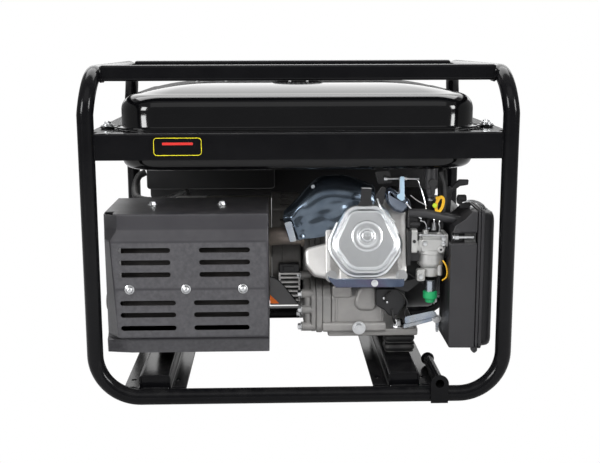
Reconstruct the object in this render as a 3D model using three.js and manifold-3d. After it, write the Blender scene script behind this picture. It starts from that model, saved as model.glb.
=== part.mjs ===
// Open-frame portable generator: tube frame, fuel tank, horizontal-shaft engine and alternator.
// Millimetres, +Z up, the crankshaft runs along X, the muffler side faces -Y and the control panel +Y.
// The origin is on the floor, in the middle of the frame.
import * as THREE from 'three';
import { mergeVertices } from 'three/addons/utils/BufferGeometryUtils.js';
import Module from 'manifold-3d';

const wasm = await Module();
wasm.setup();

// ---------------------------------------------------------------- driving dimensions
const gap = 0.3; // left between pieces that touch
const sheet = 1.5; // cover and tank sheet
const overrun = 10; // how far a cutting tool passes a face

const frame = {
  tubeR: 13, postX: 332, hoopY: 255, cornerR: 72, splitZ: 460, topZ: 534, topX: 325, topBend: 62,
  boreR: 11, barSize: 25, barWall: 2, barHalf: 311.5, barY: 205, sides: 12, bendSteps: 6,
};
const rail = { bottom: 401, top: 443, plate: 3, frontFlange: 30, sideOuter: 333, sideInner: 297, sideBottom: 405 };
const baseRail = { half: 51.5, crown: 25.5, flangeZ: 20, crownZ: 45, plate: 3, leftX: -239, rightX: 172.5 };
const axle = { x: 227, z: 35, boreR: 7, sleeveR: 8.5, sleeveEnd: 140, flangeR: 11.5, plateHalf: 15, plateTop: 49 };
const tank = {
  halfX: 290.5, halfY: 214, cornerR: 45, bottom: 378, seam: 445, flange: 7.5, flangeT: 1.7, earX: 325, earY: 160,
  neckR: 36, capR: 45, capX: 4, seatZ: 514, gaugeX: -151, gaugeR: 25,
};
const crank = { y: 10, z: 205, journalR: 17.5, boreR: 19, throwR: 32 };
const tiltDeg = 16.5; // cylinder axis above the horizontal, towards -Y
const block = { left: 30.3, right: 150, baseLeft: 51, baseRight: 208, bottom: -125.5 };
const boreR = 44; // engine cylinder
const head = { left: 44, right: 178, from: 165, to: 212, low: -75, high: 62, lobeLeft: 10, lobeTop: -12 };
const rocker = { x: 109, y: -7, half: 63, depth: 33.4 };
const fan = { left: 181, right: 252, r: 112, wall: 2.5, eyeR: 84 };
const flywheelR = 98;
const recoil = { right: 300, r: 98, postR: 10, ropeX: 270, ropeR: 2.5, ropeRise: 53, pulleyR: 58 };
const alternator = { engineEnd: 7.7, bracketEnd: -45, statorEnd: -165, rearEnd: -228, bracketR: 105, statorR: 98 };
const rotor = { r: 69, boreR: 71, left: -160, right: -50, shaftR: 12 };
const cover = { left: -317, right: -50, bottom: 80, top: 312, face: -241, setBack: -233, back: -60 };
const muffler = { left: -292, right: -75, front: -214, back: -94, bottom: 108, top: 284, cornerR: 45, tailR: 16 };
const exhaust = { y: -165, z: 262, r: 15, bore: 12 };
const airBox = { left: 246, split: 290, right: 318, front: -232, back: -135, bottom: 82, top: 313, wall: 2.5 };
const panel = {
  left: -298, right: -38, back: 190, face: 252, bottom: 290, boxTop: 377, top: 399, wall: 2.5,
  plateRight: 296, plateBottom: 262,
};

// ---------------------------------------------------------------- finishes
const finish = (color, roughness, metalness) => new THREE.MeshStandardMaterial({ color, roughness, metalness });
const blackGloss = () => finish(0x0b0b0d, 0.22, 0.3);
const charcoal = () => finish(0x4c4b50, 0.6, 0.2);
const castAluminium = () => finish(0xc4c2be, 0.55, 0.6);
const greyCast = () => finish(0x9a9794, 0.6, 0.5);
const polished = () => finish(0xd5d7d6, 0.15, 0.95);
const zinc = () => finish(0xa9b7bd, 0.3, 0.85);
const darkPlastic = () => finish(0x3f3f42, 0.55, 0);
const blackPlastic = () => finish(0x18181a, 0.5, 0);
const rubber = () => finish(0x111112, 0.8, 0);
const steel = () => finish(0x8d8f92, 0.35, 0.9);

// ---------------------------------------------------------------- solids
function solidOf(geometry) {
  const plain = geometry.index ? geometry.toNonIndexed() : geometry.clone();
  plain.deleteAttribute('normal');
  plain.deleteAttribute('uv');
  const merged = mergeVertices(plain, 1e-3);
  return new wasm.Manifold(new wasm.Mesh({
    numProp: 3,
    vertProperties: merged.attributes.position.array,
    triVerts: new Uint32Array(merged.index.array),
  }));
}

function geometryOf(solid) {
  const mesh = solid.getMesh();
  const geometry = new THREE.BufferGeometry();
  geometry.setAttribute('position', new THREE.BufferAttribute(new Float32Array(mesh.vertProperties), 3));
  geometry.setIndex(new THREE.BufferAttribute(new Uint32Array(mesh.triVerts), 1));
  return geometry;
}

const joined = (...parts) => geometryOf(parts.map(solidOf).reduce((all, next) => all.add(next)));
const shared = (...parts) => geometryOf(parts.map(solidOf).reduce((all, next) => all.intersect(next)));
const cut = (base, ...tools) => geometryOf(
  tools.map(solidOf).reduce((left, tool) => left.subtract(tool), solidOf(base)),
);

function box(x0, x1, y0, y1, z0, z1) {
  const geometry = new THREE.BoxGeometry(x1 - x0, y1 - y0, z1 - z0);
  return geometry.translate((x0 + x1) / 2, (y0 + y1) / 2, (z0 + z1) / 2);
}

// A straight round bar along one axis, from a to b, centred on (u, v) in the other two axes' order.
function bar(axis, r, a, b, u, v, sides = 16) {
  const geometry = new THREE.CylinderGeometry(r, r, b - a, sides);
  const middle = (a + b) / 2;
  if (axis === 'x') return geometry.rotateZ(-Math.PI / 2).translate(middle, u, v);
  if (axis === 'y') return geometry.translate(u, middle, v);
  return geometry.rotateX(Math.PI / 2).translate(u, v, middle);
}

// A profile of [radius, distance] points turned about the Y axis, with its faces outwards.
function lathe(profile, sides) {
  const points = profile.map(([r, distance]) => new THREE.Vector2(r, distance));
  if (THREE.ShapeUtils.area(points) < 0) points.reverse();
  return new THREE.LatheGeometry(points, sides);
}

const turnedX = (profile, sides = 24) => lathe(profile, sides).rotateZ(-Math.PI / 2);
const turnedZ = (profile, sides = 24) => lathe(profile, sides).rotateX(Math.PI / 2);

const outline = (points) => new THREE.Shape(points.map(([a, b]) => new THREE.Vector2(a, b)));

// An outline given in X and Z, made solid from y0 to y1.
function slabXZ(shape, y0, y1, curveSegments = 4) {
  const geometry = new THREE.ExtrudeGeometry(shape, { depth: y1 - y0, bevelEnabled: false, curveSegments });
  return geometry.rotateX(Math.PI / 2).translate(0, y1, 0);
}

// An outline given in Y and Z, made solid from x0 to x1.
function slabYZ(shape, x0, x1, curveSegments = 4) {
  const geometry = new THREE.ExtrudeGeometry(shape, { depth: x1 - x0, bevelEnabled: false, curveSegments });
  return geometry.rotateZ(Math.PI / 2).rotateY(Math.PI / 2).translate(x0, 0, 0);
}

// An outline given in X and Y, made solid from z0 to z1.
function slabXY(shape, z0, z1, curveSegments = 4) {
  const geometry = new THREE.ExtrudeGeometry(shape, { depth: z1 - z0, bevelEnabled: false, curveSegments });
  return geometry.translate(0, 0, z0);
}

function roundedRect(a0, a1, b0, b1, r) {
  const shape = new THREE.Shape();
  shape.moveTo(a0 + r, b0);
  shape.lineTo(a1 - r, b0);
  shape.absarc(a1 - r, b0 + r, r, -Math.PI / 2, 0);
  shape.lineTo(a1, b1 - r);
  shape.absarc(a1 - r, b1 - r, r, 0, Math.PI / 2);
  shape.lineTo(a0 + r, b1);
  shape.absarc(a0 + r, b1 - r, r, Math.PI / 2, Math.PI);
  shape.lineTo(a0, b0 + r);
  shape.absarc(a0 + r, b0 + r, r, Math.PI, 1.5 * Math.PI);
  return shape;
}

// A path through given points, each point one step of the sweep, mitred at the bends.
class Route extends THREE.Curve {
  constructor(points) {
    super();
    this.points = points.map((p) => new THREE.Vector3(...p));
  }

  getPoint(t) {
    const last = this.points.length - 1;
    const at = Math.min(t * last, last);
    const from = Math.min(Math.floor(at), last - 1);
    return this.points[from].clone().lerp(this.points[from + 1], at - from);
  }

  getPointAt(u) {
    return this.getPoint(u);
  }

  getTangentAt(u) {
    const last = this.points.length - 1;
    const at = Math.round(u * last);
    const leg = (i) => this.points[i + 1].clone().sub(this.points[i]).normalize();
    return leg(Math.max(at - 1, 0)).add(leg(Math.min(at, last - 1))).normalize();
  }
}

// A tube with flats at its radius, hollow where a bore is given, along a list of points.
function tube(points, r, sides = frame.sides, bore = 0) {
  const halfStep = Math.PI / sides;
  const section = new THREE.Shape();
  section.absarc(0, 0, r / Math.cos(halfStep), halfStep, 2 * Math.PI + halfStep);
  if (bore > 0) {
    const hole = new THREE.Path();
    hole.absarc(0, 0, bore, halfStep, halfStep - 2 * Math.PI, true);
    section.holes.push(hole);
  }
  return new THREE.ExtrudeGeometry(section, {
    steps: points.length - 1, extrudePath: new Route(points), curveSegments: sides / 2,
  });
}

// Points of a bend: centre, radius, first and last angle, and a function that puts (cos, sin) in space.
function bend(steps, from, to, place) {
  const points = [];
  for (let i = 0; i <= steps; i += 1) {
    const angle = from + ((to - from) * i) / steps;
    points.push(place(Math.cos(angle), Math.sin(angle)));
  }
  return points;
}

// A smooth hose through a few control points.
function hose(points, r, steps, sides = 8) {
  const curve = new THREE.CatmullRomCurve3(points.map((p) => new THREE.Vector3(...p)));
  return tube(curve.getSpacedPoints(steps).map((p) => p.toArray()), r, sides);
}

function piece(name, geometry, material, x = 0, y = 0, z = 0) {
  const mesh = new THREE.Mesh(geometry, material);
  mesh.name = name;
  mesh.position.set(x, y, z);
  return mesh;
}

function group(x, y, z, ...children) {
  const made = new THREE.Group();
  made.position.set(x, y, z);
  made.add(...children);
  return made;
}

// ---------------------------------------------------------------- frame
// One U of tube: post, bottom corner, floor tube, corner and post, standing in the XZ plane.
function hoopTube() {
  const centreX = frame.postX - frame.cornerR;
  const centreZ = frame.tubeR + frame.cornerR;
  const { cornerR, bendSteps } = frame;
  const corner = (x) => (c, s) => [x + cornerR * c, 0, centreZ + cornerR * s];
  const left = bend(bendSteps, Math.PI, 1.5 * Math.PI, corner(-centreX));
  const right = bend(bendSteps, 1.5 * Math.PI, 2 * Math.PI, corner(centreX));
  const points = [[-frame.postX, 0, frame.splitZ], ...left, ...right, [frame.postX, 0, frame.splitZ]];
  return tube(points, frame.tubeR, frame.sides, frame.boreR);
}

// The carrying tube over the end of the tank, which leans in a little towards its top.
function topTube() {
  const { topBend, topZ, hoopY, bendSteps, splitZ } = frame;
  const centreY = hoopY - topBend;
  const lean = frame.topX - frame.postX;
  const centreZ = topZ - topBend;
  const arc = (side, from, to) => bend(bendSteps, from, to, (c, s) => [
    lean * s, side * (centreY + topBend * c), centreZ + topBend * s,
  ]);
  const start = splitZ + gap;
  const points = [
    [0, -hoopY, start], ...arc(-1, 0, Math.PI / 2), ...arc(1, Math.PI / 2, 0), [0, hoopY, start],
  ];
  return tube(points, frame.tubeR, frame.sides, frame.boreR);
}

function topBar() {
  const { barSize, barWall, barHalf } = frame;
  const outer = barSize / 2;
  const inner = outer - barWall;
  return cut(
    slabYZ(roundedRect(-outer, outer, -outer, outer, 5), -barHalf, barHalf, 3),
    slabYZ(roundedRect(-inner, inner, -inner, inner, 3), -barHalf - overrun, barHalf + overrun, 2),
  );
}

// The rail across the front of the tank: a deep strip with its top edge folded inwards.
function crossRail() {
  const half = frame.postX - frame.tubeR - 0.5;
  const { bottom, top, plate, frontFlange } = rail;
  return slabYZ(outline([
    [-plate, bottom], [0, bottom], [0, top - plate], [frontFlange, top - plate], [frontFlange, top], [-plate, top],
  ]), -half, half);
}

// The rail under the end of the tank: a flat shelf with a web that runs on to the posts.
function endRail() {
  const { top, plate, sideBottom, sideOuter, sideInner } = rail;
  const shelf = frame.hoopY - rail.frontFlange - gap;
  const reach = frame.hoopY - frame.tubeR - 0.5;
  const width = sideOuter - sideInner;
  return joined(
    box(0, width, -shelf, shelf, top - plate, top),
    box(0, plate, -reach, reach, sideBottom, top - plate + 1),
  );
}

// A base rail: pressed hat section, flanges low and the crown in the middle.
function hatRail() {
  const { half, crown, flangeZ, crownZ, plate } = baseRail;
  const reach = frame.hoopY - frame.tubeR - 0.5;
  return slabXZ(outline([
    [-half, flangeZ], [-crown + plate, flangeZ], [-crown + plate, crownZ - plate], [crown - plate, crownZ - plate],
    [crown - plate, flangeZ], [half, flangeZ], [half, flangeZ + plate], [crown, flangeZ + plate], [crown, crownZ],
    [-crown, crownZ], [-crown, flangeZ + plate], [-half, flangeZ + plate],
  ]), -reach, reach);
}

// The wheel-axle bracket: a plate with a round top on the face of the hoop, and its sleeve behind.
function axleBracket() {
  const face = -frame.hoopY - frame.tubeR - gap;
  const plateT = 3;
  const { x, z, plateHalf, plateTop, sleeveR, boreR, sleeveEnd, flangeR } = axle;
  const shape = new THREE.Shape();
  shape.moveTo(x - plateHalf, 1);
  shape.lineTo(x + plateHalf, 1);
  shape.absarc(x, plateTop - plateHalf, plateHalf, 0, Math.PI);
  const solid = joined(
    slabXZ(shape, face - plateT, face, 5),
    bar('y', sleeveR, face - 1, -sleeveEnd, x, z),
    bar('y', flangeR, -sleeveEnd - plateT, -sleeveEnd, x, z),
  );
  return cut(solid, bar('y', boreR, face - overrun, -sleeveEnd + overrun, x, z));
}

// Turns every triangle round, for a geometry that has been mirrored.
function flipFaces(geometry) {
  const index = geometry.index.array;
  for (let i = 0; i < index.length; i += 3) {
    [index[i + 1], index[i + 2]] = [index[i + 2], index[i + 1]];
  }
  return geometry;
}

function frameGroup() {
  const barZ = frame.topZ + frame.tubeR - frame.barSize / 2;
  const turned = (mesh) => {
    mesh.rotation.z = Math.PI;
    return mesh;
  };
  const farBracket = flipFaces(axleBracket().scale(1, -1, 1));
  return group(0, 0, 0,
    piece('front_hoop', hoopTube(), blackGloss(), 0, -frame.hoopY),
    piece('rear_hoop', hoopTube(), blackGloss(), 0, frame.hoopY),
    piece('right_top_tube', topTube(), blackGloss(), frame.postX),
    turned(piece('left_top_tube', topTube(), blackGloss(), -frame.postX)),
    piece('front_top_bar', topBar(), blackGloss(), 0, -frame.barY, barZ),
    piece('rear_top_bar', topBar(), blackGloss(), 0, frame.barY, barZ),
    piece('front_tank_rail', crossRail(), blackGloss(), 0, -frame.hoopY),
    turned(piece('rear_tank_rail', crossRail(), blackGloss(), 0, frame.hoopY)),
    piece('left_tank_rail', endRail(), blackGloss(), -rail.sideOuter),
    turned(piece('right_tank_rail', endRail(), blackGloss(), rail.sideOuter)),
    piece('left_base_rail', hatRail(), blackGloss(), baseRail.leftX),
    piece('right_base_rail', hatRail(), blackGloss(), baseRail.rightX),
    piece('front_axle_bracket', axleBracket(), blackGloss()),
    piece('rear_axle_bracket', farBracket, blackGloss()),
  );
}

// ---------------------------------------------------------------- fuel tank
// The whole tank's outside, drawn in by a margin all round: a rounded plan under two crowned profiles.
function tankForm(margin) {
  const x = tank.halfX - margin;
  const y = tank.halfY - margin;
  const low = tank.bottom + margin;
  const top = tank.seatZ - margin;
  const plan = slabXY(roundedRect(-x, x, -y, y, tank.cornerR - margin), low, top + overrun, 4);
  const crowned = (half) => outline([
    [-half + 14, low], [half - 14, low], [half, low + 14], [half, top - 27], [half - 8, top - 15],
    [half - 29, top - 7], [half * 0.62, top - 2], [half * 0.25, top], [-half * 0.25, top], [-half * 0.62, top - 2],
    [-half + 29, top - 7], [-half + 8, top - 15], [-half, top - 27], [-half, low + 14],
  ]);
  return shared(plan, slabXZ(crowned(x), -y - overrun, y + overrun), slabYZ(crowned(y), -x - overrun, x + overrun));
}

function tankHalf(z0, z1, flangeFrom, flangeTo) {
  const reach = tank.halfX + 50;
  const slice = () => box(-reach, reach, -reach, reach, z0, z1);
  const rim = roundedRect(
    -tank.halfX - tank.flange, tank.halfX + tank.flange, -tank.halfY - tank.flange, tank.halfY + tank.flange,
    tank.cornerR + tank.flange,
  );
  const skin = shared(tankForm(0), slice());
  const rimmed = joined(skin, slabXY(rim, flangeFrom, flangeTo));
  return cut(rimmed, shared(tankForm(sheet), box(-reach, reach, -reach, reach, tank.bottom, tank.seatZ)));
}

function tankUpper() {
  const { seam, flangeT, earX, earY, neckR, capX, seatZ, gaugeX, gaugeR } = tank;
  const from = seam + gap;
  const earHalf = 15;
  const ears = [-1, 1].flatMap((sx) => [-1, 1].map((sy) => {
    const inner = tank.halfX + 1;
    const [x0, x1] = sx < 0 ? [-earX, -inner] : [inner, earX];
    return box(x0, x1, sy * earY - earHalf, sy * earY + earHalf, from, from + flangeT);
  }));
  const shell = joined(
    tankHalf(from, seatZ + overrun, from, from + flangeT), ...ears,
    bar('z', neckR + 4, seatZ - 12, seatZ + 2, capX, 0, 24),
    bar('z', gaugeR + 3, seatZ - 8, seatZ + 0.5, gaugeX, 0, 20),
  );
  return cut(shell, bar('z', neckR, seatZ - 30, seatZ + overrun, capX, 0, 24));
}

function tankGroup() {
  const { seam, flangeT, bottom, seatZ, neckR, capR, capX } = tank;
  const capSeat = seatZ + 2 + gap;
  const cap = turnedZ([
    [0, -22], [neckR - 2, -22], [neckR - 2, 0], [capR, 0], [capR, 13], [capR - 5, 19], [0, 21],
  ]);
  const capTab = box(-capR - 4, capR + 4, -7, 7, 3, 14);
  const cockTop = bottom - gap;
  const cock = joined(
    bar('z', 11, cockTop - 34, cockTop, 218, -190, 12),
    bar('z', 7, cockTop - 48, cockTop - 33, 218, -190, 12),
    bar('y', 6, -206, -190, 218, cockTop - 22, 12),
  );
  const lever = joined(bar('y', 7, -4, 4, 0, 0, 12), box(-3, 3, -4, 0, -22, 0));
  const hosePoints = [[218, -190, cockTop - 49], [218, -189, 318], [219, -178, 302], [216, -180, 273]];
  return group(0, 0, 0,
    piece('tank_lower_shell', tankHalf(bottom - overrun, seam, seam - flangeT, seam), blackGloss()),
    piece('tank_upper_shell', tankUpper(), blackGloss()),
    piece('fuel_cap', joined(cap, capTab), blackPlastic(), capX, 0, capSeat),
    piece('fuel_cock', cock, darkPlastic()),
    piece('fuel_cock_lever', lever, rubber(), 218, -210.5, cockTop - 22),
    piece('fuel_hose', hose(hosePoints, 4, 10), rubber()),
  );
}

// ---------------------------------------------------------------- engine
// All of it is placed from the crankshaft's axis.
function engineBlock() {
  const { left, right, baseLeft, baseRight, bottom } = block;
  const tilted = (geometry) => geometry.rotateX(Math.PI / 2 - THREE.MathUtils.degToRad(tiltDeg));
  const solid = joined(
    slabYZ(roundedRect(-100, 95, bottom + 5, 90, 24), left, right),
    box(baseLeft, right - 2, -160, -90, bottom + 5, -41),
    box(baseLeft, baseRight, -150, 120, bottom, bottom + 12.5),
    tilted(box(baseLeft, 168, -62, 58, 60, head.from - gap)),
    bar('x', 45, right - 1, 172, 0, 0, 20),
  );
  return cut(solid,
    bar('x', 74, left - overrun, right - 8, 0, 0, 24),
    box(left - overrun, right - 8, -86, 80, -112, -30),
    tilted(bar('z', boreR, 50, head.from + overrun, rocker.x, 0, 20)),
    bar('x', crank.boreR, left, 190, 0, 0, 20));
}

function crankcaseCover() {
  const left = alternator.engineEnd + gap;
  const plate = joined(
    slabYZ(roundedRect(-104, 99, -117, 94, 26), left + 9, block.left - gap),
    box(left + 9, block.left - gap, -162, -80, -115, -41),
    bar('x', 62, left, left + 10, 0, 0, 24),
  );
  return cut(plate, bar('x', crank.boreR, left - overrun, block.left + overrun, 0, 0, 20));
}

function crankshaft() {
  const webR = 60;
  const { journalR, throwR } = crank;
  const web = (from, to) => shared(
    bar('x', webR, from, to, 0, 0, 20), box(from, to, -42, 42, -webR, webR),
  );
  return joined(
    bar('x', journalR, -88, 58, 0, 0), web(57, 76), bar('x', 18, 75, 107, 0, throwR),
    web(106, 126), bar('x', journalR, 125, 246, 0, 0),
  );
}

function flywheel() {
  const boreR = crank.journalR + 0.4;
  const bladeCount = 12;
  const disc = turnedX([
    [boreR, 186], [flywheelR, 186], [flywheelR, 222], [60, 222], [34, 208], [34, 240], [boreR, 240], [boreR, 186],
  ]);
  const blades = Array.from({ length: bladeCount }, (_, i) => box(221, 242, -1.5, 1.5, 64, flywheelR - 5)
    .rotateX((i * 2 * Math.PI) / bladeCount));
  return joined(disc, ...blades);
}

function fanHousing() {
  const { left, right, r, wall, eyeR } = fan;
  return turnedX([
    [eyeR, right - wall], [r - wall - 6, right - wall], [r - wall, right - wall - 6], [r - wall, left], [r, left],
    [r, right - 6], [r - 6, right], [eyeR, right], [eyeR, right - wall],
  ], 32);
}

function recoilCover() {
  const from = fan.right + gap;
  const { right, r, postR, ropeX, ropeRise } = recoil;
  const wall = fan.wall;
  const shell = joined(
    turnedX([
      [r - wall, from], [r - 7 - wall, right - 16], [r - 24, right - wall], [0, right - wall], [0, right],
      [r - 22, right], [r - 7, right - 14], [r, from], [r - wall, from],
    ], 28),
    bar('x', postR, right - 42, right - 1, 0, 0, 14),
  );
  return cut(shell, bar('y', 5, 60, r + overrun, ropeX, ropeRise, 12));
}

function recoilPulley() {
  const { ropeX, pulleyR, postR } = recoil;
  return turnedX([
    [postR + 0.8, ropeX - 8], [pulleyR, ropeX - 8], [pulleyR, ropeX - 5], [50, ropeX - 4], [50, ropeX + 4],
    [pulleyR, ropeX + 5], [pulleyR, ropeX + 8], [postR + 0.8, ropeX + 8], [postR + 0.8, ropeX - 8],
  ], 28);
}

function recoilGrip() {
  const { ropeR, r } = recoil;
  return joined(
    bar('y', ropeR, 2, r + 8, 0, 0, 8),
    bar('y', 7, r + 4, r + 18, 0, 0, 12),
    bar('x', 8.5, -34, 34, r + 22, 0, 12),
  );
}

function cylinderHead() {
  const { left, right, from, to, low, high, lobeLeft, lobeTop } = head;
  return joined(
    slabXY(roundedRect(left, right, low, high, 14), from, to),
    slabXY(roundedRect(lobeLeft, left + 30, low, lobeTop, 14), from, to),
  );
}

function rockerCover() {
  const { half } = rocker;
  const shape = outline([
    [-half, -10], [-half + 3, -24], [-24, -60], [24, -60], [half - 6, -33], [half, -22],
    [38, 50], [26, 60], [-20, 60], [-34, 50],
  ]);
  return new THREE.ExtrudeGeometry(shape, {
    depth: rocker.depth - gap - 12, bevelEnabled: true, bevelThickness: 6, bevelSize: 6, bevelOffset: -6,
    bevelSegments: 2,
  }).translate(0, 0, 6);
}

// The parts carried by the cylinder, in its own frame: +Z outwards along the bore.
function cylinderGroup() {
  const made = group(0, 0, 0,
    piece('cylinder_head', cylinderHead(), castAluminium()),
    piece('rocker_cover', rockerCover(), polished(), rocker.x, rocker.y, head.to + gap),
  );
  made.rotation.x = Math.PI / 2 - THREE.MathUtils.degToRad(tiltDeg);
  return made;
}

const oilFillerPlug = () => joined(
  bar('y', 19, 0, 8, 0, 0, 16), bar('y', 13, 7, 16, 0, 0, 12), box(-3, 3, 7, 22, -17, 17),
);

function engineGroup() {
  const { ropeX, ropeRise } = recoil;
  return group(0, crank.y, crank.z,
    piece('engine_block', engineBlock(), greyCast()),
    piece('crankcase_cover', crankcaseCover(), castAluminium()),
    piece('crankshaft', crankshaft(), steel()),
    piece('flywheel', flywheel(), greyCast()),
    piece('fan_housing', fanHousing(), blackGloss()),
    piece('recoil_cover', recoilCover(), blackGloss()),
    piece('recoil_pulley', recoilPulley(), blackPlastic()),
    piece('recoil_grip', recoilGrip(), rubber(), ropeX, 0, ropeRise),
    piece('oil_filler_plug', oilFillerPlug(), blackPlastic(), 95, 95 + gap, -60),
    cylinderGroup(),
  );
}

// ---------------------------------------------------------------- engine's outside parts
function exhaustPipe() {
  const start = head.lobeLeft - gap;
  const { y, z, r, bore } = exhaust;
  const bends = [
    [start, y, z], [-12, y, z], [-30, y + 2, z], [-50, y + 9, z - 4], [-68, y + 14, z - 6],
    [muffler.right + gap, y + 14, z - 6],
  ];
  return tube(bends, r, 12, bore);
}

function exhaustShield() {
  const front = -188;
  const plateT = 2.5;
  const skin = outline([
    [-25, 293], [-16, 256], [-2, 254], [42, 262], [42, 328], [86, 334], [86, 362], [77, 367], [16, 345],
  ]);
  const hood = outline([[16, 345], [77, 367], [77, 370], [15, 348], [-27, 294], [-25, 292]]);
  return joined(slabXZ(skin, front, front + plateT), slabXZ(hood, front, front + 45));
}

function fuelCutSolenoid() {
  return joined(bar('z', 9, 168, 190 - gap, 221, -188, 14), bar('z', 12, 150, 169, 221, -188, 14));
}

function airCleanerCase() {
  const { left, split, front, back, bottom, top, wall } = airBox;
  const edge = split - gap / 2;
  const shape = (m) => outline([
    [left + 12 + m, bottom + m], [edge + 2 * m, bottom + m], [edge + 2 * m, top - m], [left + 20 + m, top - m],
    [left + 20 + m, 284], [left + m, 262], [left + m, bottom + 18 + m],
  ]);
  const shell = cut(slabXZ(shape(0), front, back), slabXZ(shape(wall), front + wall, back - wall));
  const neck = cut(
    joined(shell, bar('x', 19, left - 3.5, left + 1, -188, 246, 16)),
    bar('x', 15, left - overrun, left + overrun, -188, 246, 16),
  );
  return neck;
}

function airCleanerCover() {
  const { split, right, front, back, bottom, top, wall } = airBox;
  const from = split + gap / 2;
  const lip = 11;
  const body = joined(
    slabYZ(roundedRect(front, back, bottom - 4, top + 2, 10), from, from + lip),
    slabYZ(roundedRect(front + 4, back - 4, bottom + 2, top - 10, 16), from, right),
  );
  return cut(body, slabYZ(
    roundedRect(front + 4 + wall, back - 4 - wall, bottom + 2 + wall, top - 10 - wall, 14),
    from - overrun, right - wall,
  ));
}

function airCleanerBrace() {
  return joined(
    slabXZ(outline([[183, 95], [238, 108], [241, 118], [236, 122], [186, 107]]), -165, -140),
    slabXZ(outline([[234, 80], [241, 76], [242, 118], [236, 118]]), -165, -162),
  );
}

function mufflerCover() {
  const { left, right, bottom, top, face, setBack, back } = cover;
  const profile = (m) => outline([
    [setBack + m, top - m], [setBack + m, 287 - m / 2], [face + m, 270 - m / 2], [face + m, 108 + m / 2],
    [setBack + m, 104 + m / 2], [setBack + m, bottom - (m ? overrun : 0)],
    [back + (m ? overrun : 0), bottom - (m ? overrun : 0)], [back + (m ? overrun : 0), top - m],
  ]);
  const shell = cut(slabYZ(profile(0), left, right), slabYZ(profile(sheet), left + sheet, right - sheet));
  const slots = [254, 234, 214, 167, 147, 125].flatMap((z) => {
    const upper = z > 200;
    const spans = upper ? [[-291, -208], [-162, -80]] : [[-291, -201], [-172, -82]];
    return spans.map(([x0, x1]) => box(x0, x1, face - overrun, face + overrun, z - 3.5, z + 3.5));
  });
  return cut(shell, ...slots,
    bar('x', alternator.statorR + 4, right - overrun, right + overrun, crank.y, crank.z),
    bar('x', 20, right - overrun, right + overrun, exhaust.y + 9, exhaust.z - 3, 14),
    bar('x', muffler.tailR + 5, left - overrun, left + overrun, -154, 150, 14));
}

function mufflerBody() {
  const { left, right, front, back, bottom, top, cornerR, tailR } = muffler;
  const wall = 2;
  const can = slabYZ(roundedRect(front, back, bottom, top, cornerR), left, right, 5);
  const tail = bar('x', tailR, -326, left + 1, -154, 150, 14);
  const inside = slabYZ(
    roundedRect(front + wall, back - wall, bottom + wall, top - wall, cornerR - wall), left + wall, right - wall, 5,
  );
  return cut(joined(can, tail), inside,
    bar('x', tailR - wall, -340, left + overrun, -154, 150, 14),
    bar('x', exhaust.bore, right - overrun, right + overrun, exhaust.y + 14, exhaust.z - 6, 12));
}

function chokeLever() {
  return joined(bar('y', 6, -4, 4, 0, 0, 12), slabXZ(outline([
    [-4, -2], [4, -3], [18, 10], [32, 12], [33, 19], [14, 19],
  ]), -3, 3));
}

const governorArm = () => joined(
  box(-5, 5, -2, 2, -4, 36), bar('y', 8, -3, 3, 0, 0, 12), bar('x', 2, -30, 30, 0, 30, 8),
);

function intakeGroup() {
  const { left, split, right, front, back, bottom, top } = airBox;
  const carburetor = joined(
    box(206, 236, -206, -168, 218, 258), box(199, 207, -210, -166, 219, 272), box(234, 242, -210, -166, 222, 268),
    bar('x', 17, 199, 242, -188, 246, 16),
  );
  const hoseRoute = [
    [180, -203, 306], [205, -204, 305], [240, -203, 297], [left + 12, -201, 293.5], [left + 18, -201, 292.5],
  ];
  return group(0, 0, 0,
    piece('intake_spacer', box(head.right + gap, 199 - gap, -212, -162, 216, 274), blackPlastic()),
    piece('carburetor_body', carburetor, castAluminium()),
    piece('float_bowl', bar('z', 20, 190, 218 - gap, 221, -188, 18), castAluminium()),
    piece('fuel_cut_solenoid', fuelCutSolenoid(), zinc()),
    piece('air_cleaner_case', airCleanerCase(), darkPlastic()),
    piece('air_cleaner_cover', airCleanerCover(), blackPlastic()),
    piece('air_filter', box(left + 24, split - 2, front + 8, back - 8, bottom + 12, top - 12), rubber()),
    piece('air_cleaner_brace', airCleanerBrace(), zinc()),
    piece('breather_hose', hose(hoseRoute, 7.5, 8), rubber()),
    piece('choke_lever', chokeLever(), blackPlastic(), 252, -170, 338),
    piece('governor_arm', governorArm(), zinc(), 170, -184, 330),
    piece('spark_plug_cap', bar('x', 10, head.right + gap, 206, -172, 296, 12), rubber()),
  );
}

// ---------------------------------------------------------------- alternator
// Slots round a casting, as wedge-cutting boxes that reach out from its axis.
function radialSlots(angles, x0, x1, reach) {
  return angles.map((deg) => box(x0, x1, reach - 40, reach + 20, -3, 3).rotateX(THREE.MathUtils.degToRad(deg)));
}

function frontBracket() {
  const { engineEnd, bracketEnd, bracketR } = alternator;
  const shell = turnedX([
    [32, engineEnd - 12], [bracketR - 9, engineEnd - 12], [bracketR - 9, bracketEnd], [bracketR, bracketEnd],
    [bracketR, engineEnd - 6], [bracketR - 6, engineEnd], [32, engineEnd], [32, engineEnd - 12],
  ], 32);
  const angles = [0, 1, 2, 3, 4, 5].flatMap((i) => [200 + i * 7, 25 - i * 7 - 45]);
  return cut(shell, ...radialSlots(angles, -35, -2, bracketR));
}

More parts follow.
